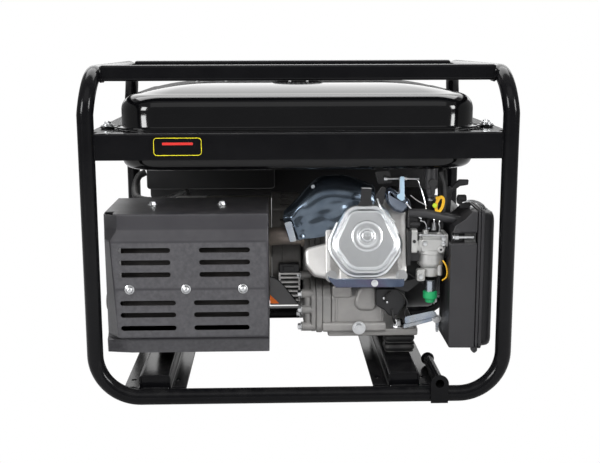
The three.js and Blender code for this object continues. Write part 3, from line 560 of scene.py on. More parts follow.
def makeFloor():
    # A flat sheet that bends up into a wall far behind: the path is a line, a quarter circle and a line.
    s = studio
    t = np.linspace(0, math.pi / 2, 24)
    run = np.concatenate([[[-s["floorHalf"], 0]], np.stack([
        s["floorHalf"] - s["bend"] + s["bend"] * np.sin(t), s["bend"] - s["bend"] * np.cos(t)], -1),
        [[s["floorHalf"], s["floorRise"]]]])
    across = np.linspace(-s["floorHalf"], s["floorHalf"], 9)
    grid = np.empty((len(run), len(across), 3))
    grid[..., 0], grid[..., 1], grid[..., 2] = across[None], run[:, :1], run[:, 1:] - 0.0005
    mesh = bpy.data.meshes.new("studioFloor")
    mesh.from_pydata(grid.reshape(-1, 3).tolist(), [], gridFaces(*grid.shape[:2], wrapCols=False).tolist())
    mesh.flip_normals()
    ob = bpy.data.objects.new("studioFloor", mesh)
    bpy.context.scene.collection.objects.link(ob)
    mat = finish("floorPaper", s["floorColour"], s["floorColour"], 0.85, fine=60, coarse=2, spread=0.05,
                 bump=0.02)
    tree = mat.node_tree
    out = tree.nodes["Material Output"]
    rays = add(tree, "ShaderNodeLightPath")  # seen as a plain white sheet, lit like grey paper
    plain = add(tree, "ShaderNodeEmission")
    plain.inputs[1].default_value = s["floorSeen"]
    both = add(tree, "ShaderNodeMixShader", {0: rays.outputs["Is Camera Ray"],
            1: out.inputs[0].links[0].from_socket, 2: plain.outputs[0]})
    tree.links.new(both.outputs[0], out.inputs[0])
    mesh.materials.append(mat)


lamps = {  # place, target, size, power and where it counts: everywhere, on matt pieces or in shiny ones
    "ceiling": ((0.0, 1.15, 2.6), (0, 0.9, 0.0), (3.4, 1.7), 92, "all"),
    "topFront": ((0.0, -0.9, 2.5), (0, 0, 0.3), (2.4, 1.5), 52, "matt"),
    "keyLeft": ((-2.1, -2.2, 1.4), (0, 0, 0.25), (0.6, 1.7), 34, "matt"),
    "keyRight": ((2.3, -2.0, 1.3), (0, 0, 0.25), (0.6, 1.7), 30, "matt"),
    "glintLeft": ((-2.1, -2.2, 1.25), (0, 0, 0.45), (0.75, 1.1), 62, "shine"),
    "glintRight": ((2.3, -2.0, 1.25), (0, 0, 0.45), (0.65, 1.1), 54, "shine"),
    "lidPanel": ((0.1, -2.0, 2.3), (0.1, 0, 0.3), (2.6, 1.6), 9, "all"),
    "frontSoft": ((0.3, -3.4, 2.0), (0, 0, 0.2), (2.4, 1.2), 62, "matt"),
    "backFill": ((0.2, 3.6, 2.3), (0, 0, 0.4), (6.0, 2.8), 88, "all"),
}


def makeLight(name, place, target, size, power, counts):
    lamp = bpy.data.lights.new(name, "AREA")
    lamp.shape, lamp.size, lamp.size_y = "RECTANGLE", size[0], size[1]
    lamp.energy = power
    ob = bpy.data.objects.new(name, lamp)
    ob.location = place
    aim = np.array(target, float) - np.array(place, float)
    flatRun = math.hypot(aim[0], aim[1])
    ob.rotation_euler = (math.atan2(flatRun, -aim[2]), 0, math.atan2(aim[1], aim[0]) - math.pi / 2)
    bpy.context.scene.collection.objects.link(ob)
    ob.visible_glossy = counts != "matt"
    ob.visible_diffuse = counts != "shine"


def makeStudio():
    world = bpy.data.worlds.new("studio")
    bpy.context.scene.world = world
    world.use_nodes = True
    tree = world.node_tree
    sky = tree.nodes["Background"]
    sky.inputs[0].default_value = (1, 1, 1, 1)
    rays = add(tree, "ShaderNodeLightPath")  # white where it is seen, dimmer where it lights
    level = add(tree, "ShaderNodeMapRange", {0: rays.outputs["Is Camera Ray"]})
    level.inputs[3].default_value, level.inputs[4].default_value = studio["skyGlow"], studio["sky"]
    tree.links.new(level.outputs[0], sky.inputs[1])
    for lampName, lamp in lamps.items():
        makeLight(lampName, *lamp)
    bpy.context.scene.view_settings.view_transform = "Standard"


makeCamera()
makeFloor()
makeStudio()
print("studio ready")


# Tube frame, rails and welds.
tubeFrame = {"radius": 13, "postX": 332, "hoopY": 255, "corner": 72, "split": 460.15, "top": 534,
             "topX": 325, "topBend": 62, "barY": 205, "barHalf": 311.6, "barSize": 25, "barCorner": 4.5,
             "weldTop": 545.2, "sides": 40, "steps": 22}


def arcPath(centre, radius, a0, a1, steps, place):
    a = np.radians(np.linspace(a0, a1, steps + 1))
    return place(centre[0] + radius * np.cos(a), centre[1] + radius * np.sin(a))


def makeHoop(name, y, node):
    # Post, quarter bend, floor tube, quarter bend and post on one path.
    f = tubeFrame
    cx, cz = f["postX"] - f["corner"], f["radius"] + f["corner"]

    def upright(x, z):
        return np.stack([x, np.full_like(x, y), z], -1)

    left = arcPath((-cx, cz), f["corner"], 180, 270, f["steps"], upright)
    right = arcPath((cx, cz), f["corner"], 270, 360, f["steps"], upright)
    path = np.concatenate([[[-f["postX"], y, f["split"]]], left, right, [[f["postX"], y, f["split"]]]])
    piece(name, sweep(path, circle(f["radius"], f["sides"]), first=(1, 0, 0)), paint, nodes=[node],
          even=False, angle=60)


def makeTopTube(name, side, node):
    # Up from each post, back over a bend that leans in, and level along the end of the tank.
    f = tubeFrame
    cy, cz = f["hoopY"] - f["topBend"], f["top"] - f["topBend"]
    t = np.radians(np.linspace(0, 90, f["steps"] + 1))
    x = side * (f["postX"] - (f["postX"] - f["topX"]) * np.sin(t))
    front = np.stack([x, -cy - f["topBend"] * np.cos(t), cz + f["topBend"] * np.sin(t)], -1)
    rear = front[::-1] * (1, -1, 1)
    ends = side * f["postX"]
    path = np.concatenate([[[ends, -f["hoopY"], f["split"] + 0.2]], front, rear,
            [[ends, f["hoopY"], f["split"] + 0.2]]])
    piece(name, sweep(path, circle(f["radius"], f["sides"]), first=(1, 0, 0)), paint, nodes=[node],
          even=False, angle=60)


def weld(path, radius, seed):
    # A bead whose thickness ripples along its path.
    p = np.array(path, float)
    n = len(p)
    ripple = 1 + 0.16 * np.sin(np.arange(n) * 1.9 + seed) + 0.10 * np.sin(np.arange(n) * 0.7 + 2 * seed)
    ends = np.sin(np.linspace(0.12, math.pi - 0.12, n)) ** 0.35
    return sweep(p, circle(radius, 10), scale=ripple * ends)


def makeTopBar(name, side, node):
    f = tubeFrame
    half, centreZ, y = f["barSize"] / 2, f["top"] + 0.5, side * f["barY"]
    ring = roundRect(y - half, y + half, centreZ - half, centreZ + half, f["barCorner"], 6)
    piece(name, plate(ring, -f["barHalf"], f["barHalf"], "yz", 0.4), paint, nodes=[node])
    beads = []  # round the bar's end, but not over its top
    for k, s in enumerate((-1, 1)):
        loop = np.stack([np.full(len(ring), s * (f["barHalf"] + 0.6)), ring[:, 0], ring[:, 1]], -1)
        dense = np.concatenate([np.linspace(a, b, 4, endpoint=False) for a,
                b in zip(loop, np.roll(loop, -1, 0))])
        dense = np.roll(dense, -int(np.argmax(dense[:, 2] >= f["weldTop"])), 0)
        dense = dense[dense[:, 2] < f["weldTop"]]
        beads.append(weld(dense, 2.4, k + side))
    piece(name + "_welds", beads, paint, even=False)


tankRail = {"low": 401, "top": 443, "plate": 3, "fold": 30, "bend": 4, "half": 319.2, "sideOuter": 333,
            "sideInner": 297, "sideLow": 405}


def makeCrossRail(name, side, node):
    # Deep strip across the posts with its top edge folded inwards over a small bend.
    r = tankRail
    y0, y1 = side * (tubeFrame["hoopY"] + r["plate"]), side * tubeFrame["hoopY"]
    back = side * (tubeFrame["hoopY"] - r["fold"])
    outline = roundPoly([(y0, r["low"]), (y1, r["low"]), (y1, r["top"] - r["plate"]),
            (back, r["top"] - r["plate"]), (back, r["top"]), (y0, r["top"])],
                        [1.2, 1.2, 2.0, 1.2, 1.2, r["bend"]], 5)
    piece(name, plate(outline, -r["half"], r["half"], "yz", 0.5), paint, nodes=[node])
    beads = []
    for s in (-1, 1):
        z = np.linspace(r["low"] + 1, r["top"] - 2, 26)
        beads.append(weld(np.stack([np.full(26, s * (r["half"] + 0.2)), np.full(26, y0 - side * 0.6), z],
                -1), 2.3, s))
    piece(name + "_welds", beads, paint, even=False)


def makeEndRail(name, side, node):
    # Flat shelf under the end of the tank on a web that runs on to the posts.
    r = tankRail
    x0, x1 = side * r["sideOuter"], side * r["sideInner"]
    shelf = plate(roundRect(min(x0, x1), max(x0, x1), -224.5, 224.5, 3, 4), r["top"] - r["plate"], r["top"],
                  "xy", 0.8)
    web = block(min(x0, x0 - side * 3), max(x0, x0 - side * 3), -241.5, 241.5, r["sideLow"], r["top"] - 1, 1,
                plane="yz")
    piece(name, [shelf, web], paint, nodes=[node])


baseRails = {"left_base_rail": -239, "right_base_rail": 172.5}
railSection = {"half": 51.5, "crown": 25.5, "low": 20, "top": 45, "sheet": 3, "reach": 241.8, "endY": 238,
               "hole": 4.5, "holeX": (-40, 34), "holeY": 200}


def makeBaseRail(name, x):
    # Pressed hat section: low flanges with bolt holes, two webs, a crown and an end plate at each end.
    s = railSection
    half, crown, low, top, t, reach = s["half"], s["crown"], s["low"], s["top"], s["sheet"], s["reach"]
    outline = roundPoly([(x - half, low), (x - crown + t, low), (x - crown + t, top - t),
            (x + crown - t, top - t), (x + crown - t, low), (x + half, low), (x + half, low + t),
            (x + crown, low + t), (x + crown, top), (x - crown, top), (x - crown, low + t),
            (x - half, low + t)], [1.2, 3, 2, 2, 3, 1.2, 1.2, 2, 5, 5, 2, 1.2], 5)
    ob = piece(name + "_pressing", plate(outline, -reach, reach, "xz", 0.5), paint, nodes=[name])
    cutAway(ob, [rod("z", s["hole"], low - 5, low + 9, x + dx, y, 20, 0.01)
                 for dx in s["holeX"] for y in (-s["holeY"], s["holeY"])])
    ends = [plate(roundRect(x - crown + t, x + crown - t, low + 1, top - t, 2, 3), y - 1.5, y + 1.5, "xz",
                  0.4) for y in (-s["endY"], s["endY"])]
    piece(name + "_ends", ends, paint)
    beads = []
    for y in (-1, 1):
        for a, b, z in ((x - half + 2, x - crown - 4, low + t + 0.5),
                        (x + crown + 4, x + half - 2, low + t + 0.5)):
            run = np.linspace(a, b, 16)
            beads.append(weld(np.stack([run, np.full(16, y * (reach - 0.6)), np.full(16, z)], -1), 2.2, a))
        run = np.linspace(x - crown + 3, x + crown - 3, 24)
        beads.append(weld(np.stack([run, np.full(24, y * (reach + 3.2)), np.full(24, 23.5)], -1), 2.2, 3))
    piece(name + "_welds", beads, paint, even=False)


axleMount = {"x": 227, "z": 35, "face": -271.2, "thick": 3, "half": 15, "top": 49, "sleeve": 8.5, "bore": 7,
             "end": -140, "flange": 11.5}


def makeAxleBracket(name, side, node):
    # A plate with a round top on the hoop and a sleeve behind it, bored right through.
    a = axleMount
    top = a["top"] - a["half"]
    t = np.radians(np.linspace(0, 180, 20))
    arc = np.stack([a["x"] + a["half"] * np.cos(t), top + a["half"] * np.sin(t)], -1)
    outline = np.concatenate([[[a["x"] - a["half"] + 1, 1.5], [a["x"] + a["half"] - 1, 1.5]], arc])
    face, end = a["face"], a["end"]
    ring = [(a["bore"], face + 0.2), (a["sleeve"], face + 0.2), (a["sleeve"], end), (a["flange"], end),
            (a["flange"] - 0.6, end - 3), (a["bore"], end - 3), (a["bore"], face + 0.2)]
    shell = plate(outline, face, face + a["thick"], "xz", 0.6)
    sleeve = turned(ring, "y", (a["x"], 0, a["z"]), 40)
    if side > 0:
        shell, sleeve = mirrored(shell, "y"), mirrored(sleeve, "y")
    ob = piece(name, shell, paint, nodes=[node])
    cutAway(ob, [rod("y", a["bore"], -290, 290, a["x"], a["z"], 40, 0.01)])
    piece(name + "_sleeve", sleeve, paint)


plainTag = {"left": -227, "right": -153, "low": 409, "high": 436, "face": -258.5, "barLeft": -214,
            "barRight": -166, "barLow": 425, "barHigh": 429}


def makeTag():
    # A blank tag on the front rail: an outlined rectangle and a bar.
    g = plainTag
    loop = onPlane(roundRect(g["left"], g["right"], g["low"], g["high"], 5, 5), g["face"], "xz")
    edge = sweep(loop, np.array([[-1.3, -0.3], [1.3, -0.3], [1.3, 0.4], [-1.3, 0.4]]), closed=True,
                 first=(0, 0, 1))
    piece("plain_tag_edge", edge, tagYellow)
    bar = roundRect(g["barLeft"], g["barRight"], g["barLow"], g["barHigh"], 1.5, 3)
    piece("plain_tag_bar", plate(bar, g["face"] - 0.4, g["face"] + 0.1, "xz", 0.1), red)


makeHoop("front_hoop_tube", -tubeFrame["hoopY"], "front_hoop")
makeHoop("rear_hoop_tube", tubeFrame["hoopY"], "rear_hoop")
makeTopTube("left_carry_tube", -1, "left_top_tube")
makeTopTube("right_carry_tube", 1, "right_top_tube")
makeTopBar("front_bar", -1, "front_top_bar")
makeTopBar("rear_bar", 1, "rear_top_bar")
makeCrossRail("front_rail", -1, "front_tank_rail")
makeCrossRail("rear_rail", 1, "rear_tank_rail")
makeEndRail("left_shelf", -1, "left_tank_rail")
makeEndRail("right_shelf", 1, "right_tank_rail")
for railName, railX in baseRails.items():
    makeBaseRail(railName, railX)
makeAxleBracket("front_axle_mount", -1, "front_axle_bracket")
makeAxleBracket("rear_axle_mount", 1, "rear_axle_bracket")
makeTag()
print("frame built")


# Fuel tank with its seam, ears, cap and gauge.
tankShape = {"halfX": 290.5, "halfY": 214, "corner": 62, "low": 378, "seam": 445, "flange": 7.5,
             "top": 514.2, "bend": 25, "bendLow": 474.5, "crownRun": 118, "capX": 4, "gaugeX": -151,
             "boltX": 313, "boltY": 160}


def perimeter(inset):
    # The tank's plan drawn in by an inset, its corners shrinking less than half as fast.
    s = tankShape
    x, y = s["halfX"] - inset, s["halfY"] - inset
    radius = max(s["corner"] - inset * 0.45, 16)
    ring = roundRect(-x, x, -y, y, radius, 14)
    sides = []
    for a, b in zip(ring, np.roll(ring, -1, 0)):
        long = np.linalg.norm(b - a) > 60
        sides.append(np.linspace(a, b, 15 if long else 1, endpoint=False))
    return np.concatenate(sides)


def crownHeight(inset):
    # A pressed crown: flat in the middle, then falling as the square of how near it is to the wall.
    s = tankShape
    near = np.clip(1 - (inset - s["bend"]) / s["crownRun"], 0, 1)
    return s["top"] - (s["top"] - s["bendLow"] - s["bend"] + 0.4) * near ** 2


def tankTopShell():
    # Rings from the seam up the wall, round the shoulder and in along the crown.
    s = tankShape
    rings = []
    z0 = s["seam"] + 0.3
    levels = [(-s["flange"] + 0.5, z0), (-s["flange"], z0 + 0.5), (-s["flange"], z0 + 1.3),
              (-s["flange"] + 0.5, z0 + 1.8), (-2.4, z0 + 1.8), (-0.8, z0 + 2.5), (0, z0 + 4.2)]
    slope = 0.245  # where the bend runs into the crown
    levels += [(s["bend"] * (1 - math.cos(a)), s["bendLow"] + s["bend"] * math.sin(a))
               for a in np.linspace(0, math.pi / 2 - slope, 14)]
    levels += [(d, float(crownHeight(d))) for d in (28, 34, 42, 52, 64, 78, 94, 112, 130, 150, 175)]
    for inset, z in levels:
        ring = perimeter(inset) if inset < 60 else perimeter(60) * np.array(
            ((s["halfX"] - inset) / (s["halfX"] - 60), (s["halfY"] - inset) / (s["halfY"] - 60)))
        rings.append(np.c_[ring, np.full(len(ring), z)])
    return gridShell(np.array(rings))


def tankLowShell():
    # Rings from the seam down the wall and under a rounded lower edge.
    s = tankShape
    z0 = s["seam"]
    rings = []
    levels = [(-s["flange"] + 0.5, z0), (-s["flange"], z0 - 0.5), (-s["flange"], z0 - 1.3),
              (-s["flange"] + 0.5, z0 - 1.8), (-2.4, z0 - 1.8), (-0.8, z0 - 2.5), (0, z0 - 4.2)]
    levels += [(16 * (1 - math.cos(a)), s["low"] + 16 - 16 * math.sin(a))
               for a in np.radians(np.linspace(0, 90, 9))]
    levels += [(60, s["low"]), (120, s["low"]), (190, s["low"])]
    for inset, z in levels:
        ring = perimeter(inset) if inset < 70 else perimeter(60) * (1 - inset / 214)
        rings.append(np.c_[ring, np.full(len(ring), z)])
    return gridShell(np.array(rings))


def makeTank():
    s = tankShape
    upper = [tankTopShell()]
    for sx in (-1, 1):
        for sy in (-1, 1):
            x0, x1 = sorted((sx * 289, sx * 324.8))
            y = sy * s["boltY"]
            outline = roundPoly([(x0, y - 15), (x1, y - 15), (x1, y + 15), (x0, y + 15)], 9, 6)
            upper.append(plate(outline, s["seam"] + 0.3, s["seam"] + 2.1, "xy", 0.5))
    neck = [(30, 505), (40, 505), (41, 511.4), (40, 515.6), (38.5, 516.3), (36, 516.0), (30, 510), (30, 505)]
    boss = [(18, 505), (31.5, 505), (29.5, 513.2), (28, 514.6), (26.5, 514.8), (18, 514.4), (18, 505)]
    skirt = [(36, 506), (58, 508.5), (54, 511.0), (47, 513.4), (40, 514.4), (36, 514.4), (36, 506)]
    upper += [turned(neck, "z", (s["capX"], 0, 0), 64), turned(boss, "z", (s["gaugeX"], 0, 0), 56),
              turned(skirt, "z", (s["capX"], 0, 0), 64)]
    piece("tank_upper_pressing", upper, tankPaint, nodes=["tank_upper_shell"], angle=40, even=False)
    piece("tank_lower_pressing", tankLowShell(), tankPaint, nodes=["tank_lower_shell"], angle=40,
          even=False)
    ring = perimeter(0.5 - s["flange"])
    seam = sweep(np.c_[ring, np.full(len(ring), s["seam"] + 0.15)], circle(0.6, 8), closed=True)
    piece("tank_seam", seam, tankPaint, even=False)
    bolts, pads = [], []
    for sx in (-1, 1):
        for sy in (-1, 1):
            x, y = sx * s["boltX"], sy * s["boltY"]
            bolts += hexagon("z", 10, 449.2, 454.6, x, y, washer=1.6, dome=0.8)
            bolts.append(turned([(0.1, 447.4), (11, 447.4), (11, 449.0), (0.1, 449.0)], "z", (x, y, 0), 32))
            pads.append(rod("z", 11, 443.2, 445.1, x, y, 32, 0.6))
            pads.append(rod("z", 10, 431, 439.8, x, y, 32, 1.6))
            bolts += hexagon("z", 13, 431, 423.5, x, y)
    piece("tank_bolts", bolts, brightSteel)
    piece("tank_pads", pads, rubber)


def makeFuelCap():
    # A lid with a scalloped skirt, a stepped crown and a raised grip bar across it.
    x, z = tankShape["capX"], 516.3

    def scallop(angle, r):
        return np.where(r > 41, r - 1.3 * (0.5 + 0.5 * np.cos(angle * 24)) ** 3, r)

    lid = [(0.1, z + 0.4), (34, z + 0.4), (41.5, z), (44.6, z + 1), (45, z + 3), (44.6, z + 11.5),
           (43, z + 14), (39.5, z + 15.2), (36.5, z + 15.4), (34.5, z + 16.6), (31, z + 17.4),
           (0.1, z + 17.6)]
    grip = plate(roundPoly([(x - 36, -4), (x - 12, -8), (x + 12, -8), (x + 36, -4), (x + 36, 4), (x + 12, 8),
            (x - 12, 8), (x - 36, 4)], 4, 4), z + 16, z + 18.9, "xy", 1.2, 4)
    vent = turned([(0.1, z + 17), (5, z + 17), (5, z + 18.7), (4.3, z + 19), (0.1, z + 19)], "z", (x, 0, 0),
                  24)
    plug = turned([(0.1, z - 21), (30, z - 21), (33.5, z - 18), (33.5, z + 0.4), (0.1, z + 0.4)], "z",
                  (x, 0, 0), 48)
    piece("fuel_cap_lid", [turned(lid, "z", (x, 0, 0), 192, scallop), grip, vent, plug], blackPlastic,
          "fuel_cap", ["fuel_cap"], angle=35)


def makeGauge():
    # A ringed dial on the tank with tick marks and a red pointer.
    x = tankShape["gaugeX"]
    ring = [(20, 514.0), (25, 514.0), (25.2, 519.5), (24, 521.2), (22.4, 521.6), (20.8, 520.6),
            (20.4, 518.6), (20, 518.6), (20, 514.0)]
    piece("gauge_ring", turned(ring, "z", (x, 0, 0), 56), blackPlastic)
    piece("gauge_dial", turned([(0.1, 514.5), (20.4, 514.5), (20.4, 517.4), (0.1, 517.4)], "z", (x, 0, 0),
            48), white)
    marks = [spun(block(x + 14, x + 18.5, -0.5, 0.5, 517.2, 517.9, 0.2), "z", a, (x, 0, 0))
             for a in range(20, 161, 20)]
    piece("gauge_marks", marks, blackPlastic)
    pointer = plate(roundPoly([(x - 1.3, -3), (x + 1.3, -3), (x + 0.5, 15), (x - 0.5, 15)], 0.4, 2), 517.6,
                    518.6, "xy", 0.2)
    piece("gauge_pointer", spun(pointer, "z", 38, (x, 0, 0)), red)


makeTank()
makeFuelCap()
makeGauge()
print("tank built")


# Muffler cover: one bent sheet, open behind and below, with slots and bolts.
upperSlots, lowerSlots = ((-291, -208), (-162, -80)), ((-291, -201), (-172, -82))
muffCover = {"left": -317, "right": -50, "back": -60, "sheet": 1.5, "fold": 3.0, "slotHigh": 8.4,
             "slots": {254: upperSlots, 234: upperSlots, 214: upperSlots, 167: lowerSlots, 147: lowerSlots,
        125: lowerSlots}, "boltX": (-275, -184, -92), "boltZ": 190, "topBoltX": (-246, -129),
             "topBoltY": -141}


def coverSection(face, foldX, sideY, inset=0.0):
    # One level of the cover seen from above: left side, slanted fold, face and right side.
    c = muffCover
    left, right, back, r = c["left"] + inset, c["right"] - inset, c["back"], c["fold"]
    corners = [(left, back), (left, sideY), (foldX, face + inset), (right, face + inset), (right, back)]
    return roundPoly(corners, [0, r, r, r, 0], 5)


def makeMufflerCover():
    # Levels from the lower edge up the face, over the top fold and back along the top.
    c = muffCover
    levels = [(80, -228.5, -276, -221), (101, -233, -276, -223), (104.5, -234.5, -282, -216),
              (108.5, -240, -292, -211), (111, -240.9, -296, -210), (150, -241, -298.2, -211),
              (190, -241, -300.4, -212), (230, -241, -302.6, -213), (267, -241, -304.6, -214),
              (271, -240.3, -303.6, -214), (285, -234.0, -294.5, -213), (288, -233.0, -293.2, -213),
              (298, -233, -293.2, -213), (309, -233, -293.2, -213)]
    z0, *last = levels[-1]
    sections = [(coverSection(*row), z) for z, *row in levels]
    sections += [(coverSection(*last, 3 * (1 - math.cos(a))), z0 + 3 * math.sin(a))
                 for a in np.radians((30, 60, 90))]
    rows = [np.c_[sec, np.full(len(sec), z)] for sec, z in sections]
    sec = rows[-1]
    for t in (0.25, 0.5, 0.75, 0.985):
        row = sec.copy()
        row[:, 1] = sec[:, 1] + (c["back"] - sec[:, 1]) * t
        rows.append(row)
    grid = np.array(rows)
    n = grid.shape[1]
    shell = grid.reshape(-1, 3), gridFaces(grid.shape[0], n, wrapCols=False)[:, ::-1].tolist()
    ob = piece("muffler_guard", shell, charcoal, nodes=["muffler_cover"], angle=30,
               even=False)
    thick = ob.modifiers.new("thick", "SOLIDIFY")
    thick.thickness, thick.offset = c["sheet"] / 1000, -1
    bakeMesh(ob)
    bm = bmesh.new()
    bm.from_mesh(ob.data)
    bmesh.ops.remove_doubles(bm, verts=bm.verts, dist=1e-5)
    bmesh.ops.recalc_face_normals(bm, faces=bm.faces)
    bm.to_mesh(ob.data)
    bm.free()
    h = c["slotHigh"] / 2
    tools = [plate(roundRect(a, b, z - h, z + h, h - 0.05, 6), -262, -224, "xz", 0)
             for z, spans in c["slots"].items() for a, b in spans]
    tools += [rod("x", 102, -70, -30, 10, 205, 64, 0.01), rod("x", 21, -70, -30, -155, 259, 32, 0.01),
              rod("x", 21, -340, -300, -154, 150, 32, 0.01),
              sheet([(-330, 309.2), (-300, 309.2), (-300, 320), (-330, 320)], 0.2, 1, -240, -205, 0)]
    cutAway(ob, tools, bevel=0.7, angle=30)
    bolts = []
    for x in c["boltX"]:
        bolts.append(turned([(0.1, -240.8), (7.6, -240.8), (7.6, -242.0), (6.2, -242.6), (5.6, -244.6),
                (4.4, -246.0), (2.4, -246.7), (0.1, -246.9)], "y", (x, 0, c["boltZ"]), 40))
        bolts += [block(x - wide, x + wide, -247.3, -246.2, c["boltZ"] - high, c["boltZ"] + high, 0.2)
                  for wide, high in ((3.2, 0.6), (0.6, 3.2))]
    for x in c["topBoltX"]:
        bolts += hexagon("z", 10, 312.2, 317.6, x, c["topBoltY"], washer=1.2, dome=0.6)
    piece("cover_bolts", bolts, brightSteel)


muff = {"left": -292, "right": -75, "front": -214, "back": -94, "low": 108, "high": 284, "corner": 45}


def makeMuffler():
    # A rounded can with rolled end seams, a strap round it and a hollow tail.
    m = muff
    ring = roundRect(m["front"], m["back"], m["low"], m["high"], m["corner"], 12)
    body = [(0, m["left"] + 6), (-2.2, m["left"] + 5), (-2.6, m["left"] + 3.4), (-2.2, m["left"] + 1),
            (0, m["left"] + 0.4), (2.2, m["left"] + 1.4), (3.6, m["left"] + 4.2), (14, m["left"] + 5.2)]
    levels = [(2.6 + d, h) for d, h in body[::-1]]
    levels += [(2.6, -200), (2.2, -190), (2.2, -188), (2.6, -178)]
    levels += [(2.6 + d, m["right"] + m["left"] - h) for d, h in body]
    grid = np.stack([onPlane(inward(ring, d), h, "yz") for d, h in levels])
    tail = turned([(14, -288), (16, -288), (16, -325), (15.2, -325.8), (14, -325.4), (14, -288)], "x",
                  (0, -154, 150), 40)
    collar = turned([(16, -297), (20, -297), (20, -289), (16, -288), (16, -297)], "x", (0, -154, 150), 40)
    # Dark steel sheets behind, under and left of the can: painted shade seen through the cover's slots.
    shadeBox = [block(m["left"] - 20, m["right"] + 14, m["back"] + 10, m["back"] + 12, 92, 300, 1),
             block(m["left"] - 20, m["right"] + 14, m["front"] + 4, m["back"] + 10, 92, 94, 1),
             block(m["left"] - 21, m["left"] - 19, m["front"] + 4, m["back"] + 10, 92, 140, 1)]
    piece("muffler_shade_box", shadeBox, mufflerSteel)
    piece("muffler_can", [gridShell(grid), tail, collar], mufflerSteel, nodes=["muffler"])


def makeExhaust():
    # The bent pipe from the head to the muffler and its two flanges.
    path = smoothPath([(9.5, -165, 262), (-12, -165, 262), (-30, -163, 261.5), (-50, -156, 258.5),
                       (-66, -151.5, 256.3), (-74.6, -151, 256)], 8)
    outer = sweep(path, circle(15, 32), first=(0, 0, 1))
    flange = plate(roundPoly([(-190, 262), (-165, 240), (-142, 262), (-165, 284)], 9, 6), 4.2, 9.6, "yz",
                   0.8)
    nuts = hexagon("x", 10, 4.2, -2.5, -182, 262) + hexagon("x", 10, 4.2, -2.5, -149, 262)
    ring = turned([(15, -75), (21, -75), (21, -71), (15, -70), (15, -75)], "x", (0, -151, 256), 36)
    piece("exhaust_elbow", [outer, flange, ring], heatSteel, nodes=["exhaust_pipe"])
    piece("exhaust_nuts", nuts, brightSteel)


def dents(u, v, seed):
    # Shallow waves of several lengths, like a thin sheet bent by hand.
    return (0.9 * np.sin(7.3 * u + 3.1 * v + seed) * np.sin(4.1 * v - 2.2 * u)
            + 0.6 * np.sin(15.7 * u - 9.3 * v + 2 * seed) + 0.35 * np.sin(23.1 * v + 11.9 * u))


def makeShield():
    # A sheet from the lower edge up its face, over a bend and back as a hood; its columns follow the length.
    low = smoothPath([(-16, -186, 257), (4, -189, 260), (19, -190, 261), (44, -190, 265), (62, -189, 268),
                      (84, -188, 282), (128, -178, 284)], 6)
    fold = smoothPath([(-26, -184, 293.5), (-12, -189, 298), (8, -191, 312), (29, -191, 325.5),
                       (52, -190, 332), (84, -189, 331), (128, -180, 322)], 6)
    high = smoothPath([(-22, -148, 301), (-4, -150, 321), (15, -152, 344), (38, -153, 360), (62, -153, 364),
                       (85, -153, 361), (128, -150, 345)], 6)
    n = len(low)
    u = np.linspace(0, 1, n)[:, None]
    t = np.linspace(0, 1, 15)[None, :]
    face = low[:, None] + (fold - low)[:, None] * t[..., None]
    wave = dents(u, t * 1.2, 0.8) * np.sin(math.pi * t) ** 0.5
    face[...,
         1] += 1.0 * wave - 2.0 * np.exp(-((u - 0.17) / 0.05) ** 2) + 2.5 * np.exp(-((u - 0.28) / 0.06) ** 2)
    s = np.linspace(0, 1, 13)[None, 1:]
    hood = fold[:, None] + (high - fold)[:, None] * s[..., None]
    bow = np.sin(math.pi * s) * (1 - 0.3 * u)
    hood[..., 1] -= 7 * bow
    hood[..., 2] += 8 * bow
    hood[..., 2] += 0.8 * dents(u * 0.9, s, 2.4) * s
    grid = np.concatenate([face, hood], 1)
    grid[..., 1] = np.maximum(grid[..., 1], -192.5)
    shell = grid.reshape(-1, 3), gridFaces(grid.shape[0], grid.shape[1], wrapCols=False).tolist()
    ob = piece("exhaust_heat_shield", shell, blueShield, nodes=["exhaust_shield"], angle=60,
               even=False)
    thick = ob.modifiers.new("thick", "SOLIDIFY")
    thick.thickness, thick.offset = 0.0012, 0
    smooth = ob.modifiers.new("smooth", "SUBSURF")
    smooth.levels = smooth.render_levels = 1
    tab = sheet([(-24, 289), (-14, 256.5), (-3, 258), (-12, 292)], 2.5, 3, -193.6, -192.2, 0.4)
    piece("shield_flange", spun(tab, "z", -8, (-14, -190, 275)), zinc)
    bolts = hexagon("y", 6, -176, -179.5, 24, 347) + hexagon("y", 10, -180, -186, 57, 258, washer=1.2)
    piece("shield_bolts", bolts, zinc)


makeMufflerCover()
makeMuffler()
makeExhaust()
makeShield()
print("exhaust side built")


# Alternator: drum, two slotted end castings, wedge guard and foot.
alt = {"y": 10, "z": 205}


def ringAt(profile, sides=96, wave=None):
    return turned(profile, "x", (0, alt["y"], alt["z"]), sides, wave)


def sideSlot(x0, x1, half, out0, out1, steps=4):
    # A cutting slot that reaches out from the shaft, long side along the shaft.
    v, faces = plate(roundRect(x0, x1, -half, half, half - 0.1, steps), out0, out1, "xy", 0)
    return v + np.array((0, alt["y"], alt["z"])), faces


def endSlot(r0, r1, half, x0, x1):
    # A cutting slot through an end wall, long side away from the shaft.
    v, faces = plate(roundRect(r0, r1, -half, half, half - 0.1, 5), x0, x1, "xy", 0)
    return np.stack([v[:, 2], v[:, 1] + alt["y"], v[:, 0] + alt["z"]], -1), faces


def around(shells, angles):
    out = []
    for a in angles:
        out += [spun(s, "x", a, (0, alt["y"], alt["z"])) for s in shells]
    return out


